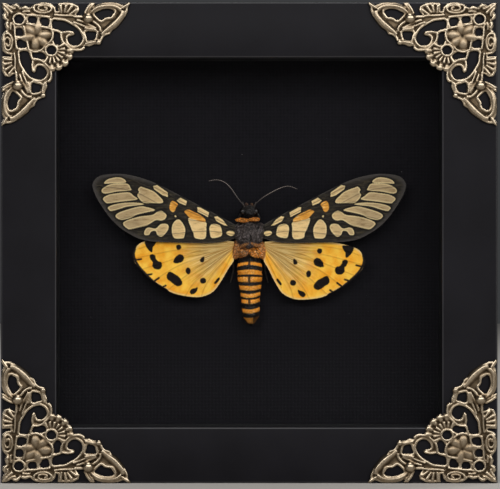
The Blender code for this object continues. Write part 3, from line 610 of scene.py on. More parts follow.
def ringPoints(centre, radius, across=None, turnDeg=0, count=24):  # an oval where across is given
    turn = Matrix.Rotation(math.radians(turnDeg), 2)
    made = []
    for i in range(count):
        x, y = polar((0, 0), 1, 360 * i / count)
        made.append(tuple(Vector(centre) + turn @ Vector((x * radius, y * (across or radius)))))
    return made


def ovalSpiral():
    made = []
    for i in range(spiral["steps"] + 1):
        share = i / spiral["steps"]
        angle = math.radians(spiral["startDeg"] + 360 * spiral["turns"] * share)
        wide = spiral["wide"] - spiral["wideLoss"] * share
        high = spiral["high"] - spiral["highLoss"] * share
        x, y = spiral["centre"]
        made.append((x + wide * math.cos(angle), y - high * math.sin(angle)))
    return made


def shellEdge():  # the shell's scalloped rim
    made = []
    for angle, following in zip(shell["lobesDeg"], shell["lobesDeg"][1:] + (None,)):
        for turn, reach in shell["lobeEdge"]:
            made.append(polar(shell["ring"], reach, angle + turn))
        if following:
            made.append(polar(shell["ring"], shell["notchReach"], (angle + following) / 2))
    return made


def swapped(points):  # reflected in the diagonal
    return [(b, a) for a, b in points]


def drawnCurve(name, dimensions, **settings):
    curve = bpy.data.curves.new(name, "CURVE")
    curve.dimensions = dimensions
    for key, value in settings.items():
        setattr(curve, key, value)
    drawn = bpy.data.objects.new(name, curve)
    bpy.context.scene.collection.objects.link(drawn)
    return drawn, curve


def addSpline(curve, places, radii=None, closed=False):
    spline = curve.splines.new("POLY")
    spline.points.add(len(places) - 1)
    for i, place in enumerate(places):
        spline.points[i].co = (*place, 1.0) if len(place) == 3 else (*place, 0.0, 1.0)
        if radii is not None:
            spline.points[i].radius = radii[i]
    spline.use_cyclic_u = closed


def plateOutline():
    return np.array([outerCorner] + legEdge + shellEdge() + swapped(legEdge)[::-1])


def plateHoles():
    made = []
    for hole in legHoles:
        made += [smoothLine(hole, 3, closed=True), smoothLine(swapped(hole), 3, closed=True)]
    return made


def insetLine(loop, inset):  # a closed line moved to its inner side, or to its outer side by a negative inset
    ahead, behind = np.roll(loop, -1, axis=0), np.roll(loop, 1, axis=0)
    way = ahead - behind
    way /= np.linalg.norm(way, axis=1)[:, None] + 1e-9
    turned = np.stack([-way[:, 1], way[:, 0]], axis=1)
    area = np.sum(loop[:, 0] * ahead[:, 1] - ahead[:, 0] * loop[:, 1])
    return loop + turned * inset * np.sign(area)


def filigreePlate():
    drawn, curve = drawnCurve("plate", "2D", fill_mode="BOTH", extrude=filigree["plateThick"] / 2)
    cornerHole = ringPoints(filigree["cornerRing"], filigree["cornerRingHole"])
    shellHole = ringPoints(shell["ring"], shell["ringHole"])
    for loop in [plateOutline(), cornerHole, shellHole] + plateHoles():
        addSpline(curve, loop, closed=True)
    mesh = evaluatedMesh(drawn, "plate")
    bm = bmesh.new()
    bm.from_mesh(mesh)
    bmesh.ops.translate(bm, vec=(0, 0, filigree["plateThick"] / 2), verts=bm.verts)
    return bm


def filigreeStrokes():
    drawn, curve = drawnCurve("strokes", "3D", bevel_depth=1.0, bevel_resolution=3, use_fill_caps=True)
    height = filigree["strokeHeight"]

    def stroke(points, radii, closed=False):
        if len(points) > 2:
            line = smoothLine(points, 4, closed)
        else:
            line = pointsAlong(np.array(points), np.linspace(0, 1, 5))
        shares = np.linspace(0, 1, len(line))
        widths = np.interp(shares, np.linspace(0, 1, len(radii)), radii) * filigree["plump"]
        levels = height - filigree["sink"] * np.maximum(widths - filigree["sinkFrom"], 0)
        addSpline(curve, [(*place, level) for place, level in zip(line, levels)], widths, closed)

    def rim(loop, inset):
        line = insetLine(loop, inset)
        places = [(*place, filigree["rimHeight"]) for place in line]
        addSpline(curve, places, [filigree["rimRadius"]] * len(places), closed=True)

    rim(plateOutline(), filigree["rimInset"])
    for hole in plateHoles():
        rim(hole, -filigree["rimInset"])
    for points, radii in legStrokes.values():
        stroke(points, radii)
        stroke(swapped(points), radii)
    for points, radii in middleStrokes.values():
        stroke(points, radii)
    stroke(ovalSpiral(), spiral["radii"])
    stroke(swapped(ovalSpiral()), spiral["radii"])
    for centre in (shell["ring"], filigree["cornerRing"]):
        stroke(ringPoints(centre, filigree["ringRadius"]), filigree["ringWidths"], closed=True)
    for number in range(shell["ribs"]):
        angle = shell["ribStepDeg"] * number + shell["ribsFromDeg"]
        stroke([polar(shell["ring"], reach, angle) for reach in shell["ribReach"]], shell["ribRadii"])
    return evaluatedMesh(drawn, "strokes")


def addDome(bm, centre, half, angleDeg=0.0):
    place = Matrix.Translation((*centre, filigree["domeLevel"]))
    place = place @ Matrix.Rotation(math.radians(angleDeg), 4, "Z") @ Matrix.Diagonal((*half, 1.0))
    bmesh.ops.create_uvsphere(bm, u_segments=20, v_segments=12, radius=1.0, matrix=place)


def reliefValues(mesh):  # how far each point stands above the surface round about
    places = placesOf(mesh)
    edges = np.empty(len(mesh.edges) * 2, int)
    mesh.edges.foreach_get("vertices", edges)
    a, b = edges.reshape(-1, 2).T
    count = np.bincount(a, minlength=len(places)) + np.bincount(b, minlength=len(places))
    height = places[:, 2].copy()
    for _ in range(filigree["reliefPasses"]):
        total = np.bincount(a, height[b], len(places)) + np.bincount(b, height[a], len(places))
        height = total / np.maximum(count, 1)
    return places[:, 2] - height


def makeFiligree():
    brass = antiqueBrass()
    bm = filigreePlate()
    bm.from_mesh(filigreeStrokes())
    for (x, y), radius in filigree["balls"]:
        half = (radius, radius, radius * filigree["ballFlatness"])
        addDome(bm, (x, y), half)
        addDome(bm, (y, x), half)
    for angle in filigree["petalAnglesDeg"]:
        middle = polar(filigree["flowerCentre"], filigree["petalReach"], angle)
        addDome(bm, middle, filigree["petalHalf"], angle)
    for angle in shell["lobesDeg"]:
        for reach, half in shell["pads"]:
            addDome(bm, polar(shell["ring"], reach, angle), half, angle)
    rough = bpy.data.objects.new("filigree", meshOf(bm, "filigree"))
    bpy.context.scene.collection.objects.link(rough)
    remesh = rough.modifiers.new("Remesh", "REMESH")
    remesh.mode = "VOXEL"
    remesh.voxel_size = filigree["voxel"]
    ease = rough.modifiers.new("Smooth", "SMOOTH")
    ease.iterations = filigree["smoothing"]
    cast = evaluatedMesh(rough, "filigree")
    setValues(cast, "relief", reliefValues(cast))
    drawn = placesOf(cast)
    corners = {"topLeft": (-1, 1), "topRight": (1, 1), "bottomLeft": (-1, -1), "bottomRight": (1, -1)}
    for name, (sideX, sideZ) in corners.items():
        mesh = cast.copy()
        x = sideX * (halfWidth - drawn[:, 0])
        z = halfHeight + sideZ * (halfHeight - drawn[:, 1] * filigree["uprightShare"])
        movePlaces(mesh, np.stack([x, frontY - filigree["offFace"] - drawn[:, 2], z], axis=1) * mm)
        bm = bmesh.new()
        bm.from_mesh(mesh)
        bmesh.ops.recalc_face_normals(bm, faces=bm.faces)
        bm.to_mesh(mesh)
        bm.free()
        node = name.replace("L", "_l").replace("R", "_r") + "_filigree"
        finished(mesh, name + "Filigree", brass, "antique_brass", node)
    print(f"the filigree corners are cast, {len(cast.polygons)} faces each")


makeFiligree()


# Wings. Points are (out from the body's middle, up), for the left wing; the right one is its reflection.

forewing = {
    "depth": 0.1,
    "lift": 0.9,  # how far the tip rises towards the viewer
    "spans": 270,
    "chords": 96,
    "lead": [
        (3.95, 3.1), (6.7, 4.7), (12.4, 7.7), (18.1, 10.7), (23.8, 13.6), (28.1, 15.6),
        (32.4, 17.0), (36.7, 17.7), (40.9, 17.5), (43.2, 16.8), (44.5, 15.5),
    ],
    "trail": [
        (4.1, -0.6), (6.4, -1.4), (9.5, -1.95), (15.2, -2.0), (20.9, -1.9), (26.6, -1.7), (30.1, -1.2),
        (32.9, -0.15), (36.7, 2.2), (39.5, 4.9), (41.8, 8.0), (43.8, 11.4), (44.7, 14.0), (44.5, 15.5),
    ],
    "cream": [
        [(41.4, 15.0), (40.4, 16.1), (37.9, 16.7), (36.1, 16.4), (35.1, 15.4), (36.7, 15.1), (39.6, 15.0)],
        [
            (42.1, 12.7), (41.6, 13.7), (39.6, 14.7), (37.0, 15.0), (34.7, 14.8), (33.9, 13.7),
            (33.9, 13.0), (37.6, 12.7), (41.0, 12.1),
        ],
        [
            (41.7, 10.7), (40.1, 11.7), (37.3, 12.2), (34.4, 12.4), (33.0, 11.4), (32.0, 10.4),
            (36.7, 9.8), (40.1, 9.3), (41.1, 9.7),
        ],
        [
            (40.3, 8.1), (39.0, 8.8), (36.1, 9.4), (32.4, 9.5), (30.0, 9.0), (34.7, 8.4), (37.0, 7.7),
            (39.3, 7.1), (40.0, 7.5),
        ],
        [
            (38.1, 5.8), (37.0, 6.7), (34.1, 7.7), (31.3, 8.4), (29.6, 8.3), (26.9, 7.4), (29.0, 6.8),
            (31.9, 6.1), (34.1, 5.1), (36.4, 4.6), (37.6, 5.0),
        ],
        [
            (36.0, 3.5), (34.7, 4.5), (31.3, 5.5), (27.6, 6.0), (26.4, 6.8), (25.0, 7.1), (23.7, 6.1),
            (23.9, 5.0), (25.0, 4.4), (26.7, 4.5), (29.0, 3.1), (31.3, 2.5), (33.9, 1.9), (35.0, 2.3),
        ],
        [
            (29.9, 0.4), (29.7, 1.7), (28.7, 2.4), (26.7, 2.1), (25.3, 3.3), (23.6, 3.4), (23.0, 2.5),
            (23.6, 1.1), (25.0, -0.2), (26.2, 0.3), (26.7, 1.4), (27.9, 1.3), (28.7, 0.3),
        ],
        [
            (31.9, 11.7), (31.4, 12.5), (31.7, 13.2), (31.0, 14.0), (29.9, 13.7), (27.3, 12.7),
            (25.6, 11.2), (24.7, 10.2), (24.9, 9.4), (27.9, 9.4), (30.1, 9.5), (31.3, 10.5),
        ],
        [
            (17.4, 4.9), (16.0, 4.7), (12.5, 4.0), (12.3, 2.3), (12.6, -0.7), (15.4, -0.6), (15.9, 0.8),
            (16.6, 2.3),
        ],
        [
            (22.0, 2.8), (21.3, 4.1), (20.3, 4.7), (19.3, 4.0), (18.3, 2.0), (18.6, -0.3), (19.3, -0.7),
            (21.3, -0.6), (22.0, 0.8),
        ],
        [(11.3, 2.5), (10.4, 3.4), (8.5, 3.0), (7.9, 1.7), (8.0, 0.0), (10.6, -0.6), (11.2, 0.8)],
        [(6.5, 0.7), (5.9, 1.4), (4.5, 1.3), (4.2, 0.5), (5.3, 0.0)],
        [(21.3, 5.7), (21.0, 5.9), (20.8, 5.5), (21.1, 5.3)],
    ],
    "marginFrom": (22, 36),  # the grey margin's width, at two places along the wing
    "marginWidths": (0.35, 1.5),
    "costal": [  # square-cornered bars along the leading edge
        [(27.4, 14.2), (26.3, 14.5), (23.3, 12.4), (23.2, 11.1), (24.7, 11.6), (27.1, 13.3)],
        [(20.7, 10.1), (19.6, 10.9), (17.8, 9.9), (18.1, 8.7), (19.9, 9.4)],
        [(14.8, 8.2), (14.0, 8.1), (11.5, 6.7), (11.8, 5.4), (13.3, 6.2), (14.7, 6.9)],
        [(10.0, 5.4), (9.1, 5.6), (7.6, 4.6), (6.3, 2.9), (7.2, 3.0), (9.3, 4.2)],
    ],
    "gold": [
        [(22.6, 9.1), (21.9, 10.0), (20.4, 9.1), (20.9, 8.1), (21.3, 7.1), (22.0, 6.8), (22.7, 7.7)],
        [
            (18.5, 7.0), (17.3, 7.5), (15.9, 6.9), (14.1, 6.0), (12.7, 4.9), (12.6, 4.0), (13.9, 4.1),
            (15.3, 4.5), (16.8, 5.0), (17.9, 6.2),
        ],
    ],
    "veins": [
        [(4.0, 2.4), (12.0, 6.0), (20.0, 10.2), (28.0, 14.3), (36.0, 16.9)],
        [(4.0, 1.8), (12.0, 4.9), (20.0, 8.4), (28.0, 13.4), (34.0, 16.2)],
        [(4.2, 1.2), (12.0, 3.9), (18.6, 5.0), (24.0, 8.0), (33.0, 12.7), (42.6, 14.2)],
        [(24.0, 8.6), (32.0, 9.9), (42.0, 9.0)],
        [(24.0, 8.2), (30.0, 8.7), (41.2, 6.7)],
        [(22.0, 6.0), (27.0, 6.9), (39.2, 4.2)],
        [(20.5, 5.0), (26.0, 3.9), (35.6, 1.4)],
        [(4.2, 0.4), (12.0, 1.4), (22.5, 0.5), (31.0, -0.6)],
        [(4.3, -0.3), (12.0, -1.2), (24.0, -1.3)],
    ],
}
hindwing = {
    "depth": 1.0,
    "lift": 0.3,
    "spans": 230,
    "chords": 120,
    "hinge": (3.9, -2.9),
    "rightTurnDeg": -3.8,
    "spotSpread": 0.1,
    "marginWidth": 0.36,  # half widths of the black lines
    "darkTipWidth": 0.5,
    "tickWidth": 0.28,
    "beigeReach": 18,  # mm from the hinge, where the beige ends
    "beigeFade": 9,
    "beigeTurn": 62,  # degrees below the level, where it ends
    "beigeTurnFade": 22,
    "rayScale": (0.55, 0.12),  # of the streaks, per degree across and per mm along
    "lead": [
        (4.3, -1.7), (10.0, -0.7), (18.0, -0.2), (25.0, -0.6), (30.0, -1.6), (31.8, -2.6), (33.0, -4.2),
        (33.4, -5.5),
    ],
    "trail": [
        (4.35, -5.4), (4.5, -7.2), (5.9, -9.3), (8.2, -13.2), (10.4, -16.0), (13.5, -17.35), (16.7, -17.4),
        (21.6, -16.4), (25.9, -14.0), (29.1, -11.7), (32.5, -7.9), (33.4, -5.5),
    ],
    "spots": [
        [
            (29.8, -1.8), (29.3, -1.3), (26.7, -1.3), (27.0, -2.4), (27.6, -3.2), (27.8, -4.5),
            (28.4, -4.3), (29.3, -3.2),
        ],
        [(20.8, -3.2), (20.6, -2.7), (19.9, -2.6), (19.5, -3.1), (19.7, -3.7), (20.4, -3.9)],
        [
            (21.6, -7.5), (21.2, -6.3), (20.3, -5.5), (19.3, -5.4), (18.7, -6.3), (19.2, -7.3),
            (20.3, -7.7), (21.0, -7.7),
        ],
        [(14.0, -7.2), (13.7, -6.4), (13.0, -6.0), (12.9, -6.7), (13.2, -7.5)],
        [(18.1, -10.0), (17.8, -9.2), (17.2, -9.2), (16.8, -9.9), (17.1, -10.7), (17.7, -10.8)],
        [(14.0, -12.8), (13.7, -12.2), (12.8, -12.1), (12.4, -12.8), (12.7, -13.4), (13.6, -13.5)],
        [
            (28.4, -5.8), (27.9, -5.3), (27.0, -5.6), (26.8, -6.4), (26.2, -7.2), (25.2, -7.6),
            (25.0, -8.6), (25.6, -9.4), (26.8, -9.4), (27.6, -8.6), (27.5, -7.6), (28.0, -6.8),
        ],
        [
            (23.5, -11.4), (23.0, -10.4), (22.3, -10.4), (21.3, -11.0), (20.2, -11.7), (19.3, -13.0),
            (19.4, -13.9), (20.4, -14.3), (21.3, -13.9), (22.4, -13.0), (23.3, -12.3),
        ],
        [
            (16.9, -15.9), (16.3, -15.2), (15.4, -15.0), (14.8, -14.8), (15.0, -15.7), (15.7, -16.4),
            (16.5, -16.6),
        ],
        [(9.9, -13.3), (8.8, -12.0), (8.5, -12.4), (9.6, -13.6)],
    ],
    "margin": [  # the black line inside the pale edge
        (32.7, -3.7), (33.0, -4.9), (32.8, -6.4), (32.1, -7.9), (31.1, -9.3), (29.8, -10.7),
        (28.5, -12.0), (27.1, -13.3), (25.6, -14.3), (23.6, -15.5),
    ],
    "darkTip": [(32.6, -2.9), (33.2, -4.2), (33.5, -5.5), (33.1, -6.6)],
    "ticks": [
        [(32.6, -6.9), (30.9, -6.6)], [(29.3, -11.2), (27.9, -10.9)],
        [(27.4, -13.1), (25.8, -12.0)], [(25.0, -14.8), (23.9, -14.2)],
    ],
    "veins": [
        [(4.3, -2.0), (14.0, -1.6), (26.0, -2.2), (31.4, -3.6)],
        [(4.3, -2.3), (14.0, -3.4), (22.0, -4.2), (32.9, -6.4)],
        [(14.0, -4.0), (21.0, -6.4), (31.0, -9.6)],
        [(4.3, -2.7), (14.0, -6.2), (20.5, -8.6), (27.6, -13.0)],
        [(4.3, -3.0), (12.0, -7.2), (18.0, -11.3), (23.4, -15.6)],
        [(4.3, -3.4), (10.4, -8.4), (15.6, -13.2), (18.2, -17.1)],
        [(4.3, -3.9), (8.6, -8.8), (12.2, -13.6), (13.6, -17.2)],
        [(4.3, -4.4), (6.9, -9.0), (10.0, -14.4)],
    ],
}
wingShared = {
    "levelFrom": 40.0,
    "thickness": 0.14,
    "veinHeight": 0.09,
    "veinWidth": 0.2,
    "pleat": 0.05,  # how far the wing falls for each mm from a vein
    "pleatReach": 1.5,
    "raggedEdge": 0.07,
    "raggedReach": 0.4,
    "weld": 0.004,
}


def forewingScales():
    # Overlapping scales on the forewing: velvety black with a faint grey sheen, and matt cream windows.
    made, tree, shader = newMaterial(
        "Forewing scales", Roughness=0.6, Specular_IOR_Level=0.15, Sheen_Weight=0.015
    )
    cream, gold, margin, vein, out = (
        addNode(tree, "Attribute", attribute_name=name).outputs["Fac"]
        for name in ("cream", "gold", "margin", "vein", "out")
    )
    place = addNode(tree, "TexCoord").outputs["Object"]
    scales = addNode(tree, "TexNoise", {"Vector": place, "Scale": 1 / (0.14 * mm), "Detail": 2})
    lengthways = addNode(tree, "Mapping", {"Vector": place, "Scale": (0.25, 1.0, 1.0)}).outputs["Vector"]
    streaks = addNode(
        tree, "TexNoise", {"Vector": lengthways, "Scale": 1 / (0.6 * mm), "Detail": 5, "Roughness": 0.65}
    ).outputs["Fac"]
    rough = addNode(tree, "Math", {0: scales.outputs["Fac"], 1: 0.5}, operation="SUBTRACT").outputs[0]
    marks = []
    for distance in (cream, gold):  # scale by scale at their edges
        moved = addNode(tree, "Math", {0: rough, 1: 0.35, 2: distance}, operation="MULTIPLY_ADD").outputs[0]
        share = addNode(tree, "MapRange", {"Value": moved, "From Min": -0.09, "From Max": 0.09})
        marks.append(share.outputs["Result"])
    black = addNode(
        tree, "ValToRGB", {"Fac": streaks}, [(0.32, "#100D09"), (0.5, "#211C15"), (0.68, "#403929")]
    ).outputs["Color"]
    shaded = addNode(
        tree, "ValToRGB", {"Fac": streaks}, [(0.3, "#A8987A"), (0.5, "#F4F0E6"), (0.7, "#FFFCF2")]
    ).outputs["Color"]
    golden = addNode(
        tree, "ValToRGB", {"Fac": streaks}, [(0.3, "#B87320"), (0.55, "#E5A341"), (0.7, "#F7D690")]
    ).outputs["Color"]
    farOut = addNode(tree, "MapRange", {"Value": out, "From Min": 16.0, "From Max": 32.0}).outputs["Result"]
    window = addNode(
        tree, "Mix", {0: farOut, 6: linear("#F0CF94"), 7: linear("#B39D78")}, data_type="RGBA"
    ).outputs[2]
    window = addNode(
        tree, "Mix", {0: 0.75, 6: window, 7: shaded}, data_type="RGBA", blend_type="MULTIPLY"
    ).outputs[2]
    # painted light and shade: each window is paler towards its edge, so its middle reads darker, as shade in
    # the wing's folds
    rim = addNode(
        tree, "MapRange", {"Value": cream, "From Min": 0.45, "From Max": 0.1, "To Max": 0.55}
    ).outputs["Result"]
    window = addNode(tree, "Mix", {0: rim, 6: window, 7: linear("#F3DDA4")}, data_type="RGBA").outputs[2]
    nearWindow = addNode(
        tree, "MapRange", {"Value": cream, "From Min": -0.75, "From Max": -0.3, "To Max": 0.85}
    ).outputs["Result"]
    veined = addNode(
        tree, "MapRange", {"Value": vein, "From Min": 0.2, "From Max": 0.05, "To Max": 0.5}
    ).outputs["Result"]
    colour = black
    layers = (
        (margin, linear("#413D3A")), (nearWindow, linear("#0B0704")), (marks[0], window),
        (marks[1], golden), (veined, linear("#2E2924")),
    )
    for share, top in layers:
        colour = addNode(tree, "Mix", {0: share, 6: colour, 7: top}, data_type="RGBA").outputs[2]
    bump = addNode(tree, "Bump", {"Height": scales.outputs["Fac"], "Strength": 0.5, "Distance": 0.05 * mm})
    tree.links.new(colour, shader.inputs["Base Color"])
    tree.links.new(bump.outputs["Normal"], shader.inputs["Normal"])
    return made


def hindwingScales():
    # Scales on the hindwing: matt orange-yellow, with beige streaks at the root and velvety black spots.
    made, tree, shader = newMaterial(
        "Hindwing scales", Roughness=0.6, Specular_IOR_Level=0.1, Sheen_Weight=0.01
    )
    spots, edge, margin, beige, vein = (
        addNode(tree, "Attribute", attribute_name=name).outputs["Fac"]
        for name in ("spots", "edge", "margin", "beige", "vein")
    )
    ray = addNode(tree, "Attribute", attribute_name="ray").outputs["Vector"]  # turn and reach from the hinge
    place = addNode(tree, "TexCoord").outputs["Object"]
    scales = addNode(tree, "TexNoise", {"Vector": place, "Scale": 1 / (0.16 * mm), "Detail": 2})
    blotch = addNode(tree, "TexNoise", {"Vector": place, "Scale": 1 / (2.5 * mm), "Detail": 4})
    streaks = addNode(tree, "TexNoise", {"Vector": ray, "Scale": 1.0, "Detail": 5, "Roughness": 0.6})
    rough = addNode(tree, "Math", {0: scales.outputs["Fac"], 1: 0.5}, operation="SUBTRACT").outputs[0]
    marks = []
    for distance in (spots, margin):
        moved = addNode(tree, "Math", {0: rough, 1: 0.45, 2: distance}, operation="MULTIPLY_ADD").outputs[0]
        share = addNode(tree, "MapRange", {"Value": moved, "From Min": -0.1, "From Max": 0.1})
        marks.append(share.outputs["Result"])
    orange = addNode(
        tree, "ValToRGB", {"Fac": blotch.outputs["Fac"]}, [(0.35, "#F3A526"), (0.65, "#FFCA4C")]
    ).outputs["Color"]
    root = addNode(
        tree, "ValToRGB", {"Fac": streaks.outputs["Fac"]},
        [(0.35, "#7A6238"), (0.5, "#C6A05A"), (0.65, "#EAD294")],
    ).outputs["Color"]
    paleEdge = addNode(
        tree, "MapRange", {"Value": edge, "From Min": 0.7, "From Max": 0.15, "To Max": 0.8}
    ).outputs["Result"]
    line = addNode(
        tree, "MapRange", {"Value": vein, "From Min": 0.25, "From Max": 0.05, "To Max": 0.35}
    ).outputs["Result"]
    colour = orange
    layers = (
        (beige, root), (paleEdge, linear("#E9C98A")), (line, linear("#A8722A")),
        (marks[0], linear("#150E0A")), (marks[1], linear("#1D1713")),
    )
    for share, top in layers:
        colour = addNode(tree, "Mix", {0: share, 6: colour, 7: top}, data_type="RGBA").outputs[2]
    bump = addNode(tree, "Bump", {"Height": scales.outputs["Fac"], "Strength": 0.5, "Distance": 0.05 * mm})
    tree.links.new(colour, shader.inputs["Base Color"])
    tree.links.new(bump.outputs["Normal"], shader.inputs["Normal"])
    return made


def ripple(share, seed):  # a small unevenness along a wing's edge, from -1 to 1
    return sum(np.sin(share * math.tau * turns + seed * turns) / 3 for turns in (31, 47, 83))


def makeWing(name, wing, side, turnDeg, material, slot, node, values):
    bm = bmesh.new()
    bmesh.ops.create_grid(bm, x_segments=wing["spans"], y_segments=wing["chords"], size=0.5)
    mesh = meshOf(bm, name)
    grid = placesOf(mesh)[:, :2] + 0.5
    lead = pointsAlong(smoothLine(wing["lead"]), grid[:, 0])
    trail = pointsAlong(smoothLine(wing["trail"]), grid[:, 0])
    flat = lead + (trail - lead) * grid[:, 1:]
    outline = np.concatenate([smoothLine(wing["lead"]), smoothLine(wing["trail"])[::-1]])
    edge, _ = farFrom(flat, outline)
    vein = np.min([farFrom(flat, smoothLine(line, 4))[0] for line in wing["veins"]], axis=0)
    for key, amounts in {**values(flat, edge), "vein": vein, "out": flat[:, 0]}.items():
        setValues(mesh, key, amounts, "FLOAT_VECTOR" if np.ndim(amounts) == 2 else "FLOAT")
    rise = wing["lift"] * np.sin(np.minimum(flat[:, 0] / wingShared["levelFrom"], 1) * np.pi / 2)
    rise += wingShared["veinHeight"] * np.exp(-(vein / wingShared["veinWidth"]) ** 2)
    rise -= wingShared["pleat"] * np.minimum(vein, wingShared["pleatReach"])
    middle = flat.mean(axis=0)
    nearEdge = np.clip(1 - edge / wingShared["raggedReach"], 0, 1)
    ragged = ripple(grid[:, 0], 1.0 + side) * wingShared["raggedEdge"] * nearEdge
    flat = flat + (flat - middle) / np.linalg.norm(flat - middle, axis=1)[:, None] * ragged[:, None]
    hinge = np.array(hindwing["hinge"])
    c, s = math.cos(math.radians(turnDeg)), math.sin(math.radians(turnDeg))
    flat = (flat - hinge) @ np.array([[c, s], [-s, c]]) + hinge
    movePlaces(mesh, np.stack([side * flat[:, 0], wing["depth"] - rise, mothZ + flat[:, 1]], axis=1) * mm)
    bm = bmesh.new()
    bm.from_mesh(mesh)
    bmesh.ops.remove_doubles(bm, verts=bm.verts, dist=wingShared["weld"] * mm)
    bmesh.ops.recalc_face_normals(bm, faces=bm.faces)
    bm.to_mesh(mesh)
    bm.free()
    made = finished(mesh, name, material, slot, node)
    skin = made.modifiers.new("Thickness", "SOLIDIFY")
    skin.thickness = wingShared["thickness"] * mm
    skin.offset = 0.0


def forewingValues(flat, edge):
    costal = depthInside(flat, forewing["costal"], rounding=1)
    marginWidth = np.interp(flat[:, 0], forewing["marginFrom"], forewing["marginWidths"])
    return {
        "cream": np.maximum(depthInside(flat, forewing["cream"]), costal),
        "gold": depthInside(flat, forewing["gold"]),
        "margin": np.clip(1 - edge / marginWidth, 0, 1),
    }


def hindwingValues(flat, edge):
    fromHinge = flat - np.array(hindwing["hinge"])
    reach = np.linalg.norm(fromHinge, axis=1)
    turn = np.degrees(np.arctan2(-fromHinge[:, 1], fromHinge[:, 0]))
    line = hindwing["marginWidth"] - farFrom(flat, smoothLine(hindwing["margin"]))[0]
    line = np.maximum(line, hindwing["darkTipWidth"] - farFrom(flat, smoothLine(hindwing["darkTip"]))[0])
    for tick in hindwing["ticks"]:
        line = np.maximum(line, hindwing["tickWidth"] - farFrom(flat, np.array(tick))[0])
    beige = np.clip((hindwing["beigeReach"] - reach) / hindwing["beigeFade"], 0, 1)
    beige = beige * np.clip((hindwing["beigeTurn"] - turn) / hindwing["beigeTurnFade"], 0, 1)
    across, along = hindwing["rayScale"]
    return {
        "spots": depthInside(flat, hindwing["spots"]) + hindwing["spotSpread"],
        "edge": edge,
        "margin": line,
        "beige": beige,
        "ray": np.stack([turn * across, reach * along, np.zeros(len(reach))], axis=1),
    }


def makeWings():
    foreScales, hindScales = forewingScales(), hindwingScales()
    for word, side, turn in (("left", -1, 0.0), ("right", 1, hindwing["rightTurnDeg"])):
        makeWing(
            f"{word}Forewing", forewing, side, 0.0, foreScales, "forewing_scales", f"{word}_forewing",
            forewingValues,
        )
        makeWing(
            f"{word}Hindwing", hindwing, side, turn, hindScales, "hindwing_scales", f"{word}_hindwing",
            hindwingValues,
        )


makeWings()
print("the wings are spread")


# Body hair. Each small face of a body form is drawn out to one hair.

body = {
    "seed": 7,
    "tipShare": 0.32,  # a hair's tip, of its root
    "pinClear": 0.6,  # no hair this close to the pin
    "lumpsPerMm": 1.3,
    "lumpHeight": 0.4,
    "wobble": 0.03,  # of each corner of a form
    "stray": 0.16,  # how far a hair's direction strays
    "lengths": (0.6, 1.25),  # the shortest and the longest, of the stated length
    # painted shade: the low tone that each hair's root is given
    "rootShade": 0.3,
    "shadeByChance": 0.6,
    "paintedLightByFacing": 0.4,  # painted light: more where the hair faces the viewer and the lamps in front
    "facingPower": 3,
}
hairRandom = random.Random(body["seed"])


def furScales(name, light, dark, clumpSize, crackShade, gloss):  # crackShade is the share of the hair's brightness left in the painted shade of the cracks between clumps
    # Hair scales: fine flattened hairs, dark at the root and lighter and silky at the tip. The darker root is
    # painted shade and the lighter tip is painted light. The cracks between clumps get painted shade.
    made, tree, shader = newMaterial(name, Roughness=0.42, Specular_IOR_Level=gloss, Sheen_Weight=0.02)
    band, tip, shade = (
        addNode(tree, "Attribute", attribute_name=key).outputs["Fac"] for key in ("band", "tip", "shade")
    )
    place = addNode(tree, "TexCoord").outputs["Object"]
    clump = addNode(
        tree, "TexVoronoi", {"Vector": place, "Scale": 1 / (clumpSize * mm), "Detail": 1.0},
        feature="DISTANCE_TO_EDGE",
    ).outputs["Distance"]
    bright = addNode(tree, "ValToRGB", {"Fac": shade}, light).outputs["Color"]
    dull = addNode(tree, "ValToRGB", {"Fac": shade}, dark).outputs["Color"]
    mixed = addNode(tree, "Mix", {0: band, 6: dull, 7: bright}, data_type="RGBA")
    # painted shade and light: a hair's root keeps its tone and its tip is made up to 1.3 times brighter
    root = addNode(tree, "MapRange", {"Value": tip, "To Min": 1.0, "To Max": 1.3}).outputs["Result"]
    # painted shade: darker along the cracks between clumps of hair
    crackShadeShare = addNode(
        tree, "MapRange",
        {"Value": clump, "From Min": 0.01, "From Max": 0.11, "To Min": crackShade, "To Max": 1.0},
    ).outputs["Result"]
    dim = addNode(tree, "Math", {0: root, 1: crackShadeShare}, operation="MULTIPLY")
    colour = addNode(tree, "VectorMath", {0: mixed.outputs[2], "Scale": dim.outputs[0]}, operation="SCALE")
    tree.links.new(colour.outputs["Vector"], shader.inputs["Base Color"])
    return made


def inOrder(parts):  # faces or vertices by their place, so that each run draws the same random numbers for them
    def placeOf(part):
        at = part.co if isinstance(part, bmesh.types.BMVert) else part.calc_center_median()
        return tuple(round(value, 4) for value in at)
    return sorted(parts, key=placeOf)


def growHair(bm, faces, length, lift, combed, bandAt):  # combed is the way that the hair lies
    layers = bm.verts.layers.float
    tipLayer, bandLayer, shadeLayer = (layers.get(key) or layers.new(key) for key in ("tip", "band", "shade"))
    for face in faces:
        for vert in face.verts:
            vert[bandLayer] = bandAt(vert.co)
            vert[shadeLayer] = body["rootShade"]
    tips = bmesh.ops.extrude_discrete_faces(bm, faces=faces)["faces"]
    for face in inOrder(tips):
        centre = face.calc_center_median()
        away = face.normal * lift + Vector(combed(centre)) * (1 - lift)
        away += Vector([hairRandom.gauss(0, body["stray"]) for _ in range(3)])
        reach = length * hairRandom.uniform(*body["lengths"])
        tip = centre + away.normalized() * reach
        band = bandAt(centre)
        # painted light: hairs that face the viewer get lighter tones, and so more of the white glints
        facing = max(0, -face.normal.y) ** body["facingPower"]
        shade = body["shadeByChance"] * hairRandom.random() + body["paintedLightByFacing"] * facing
        for vert in face.verts:
            vert.co = tip + (vert.co - centre) * body["tipShare"]
            vert[tipLayer] = 1.0
            vert[bandLayer] = band
            vert[shadeLayer] = shade


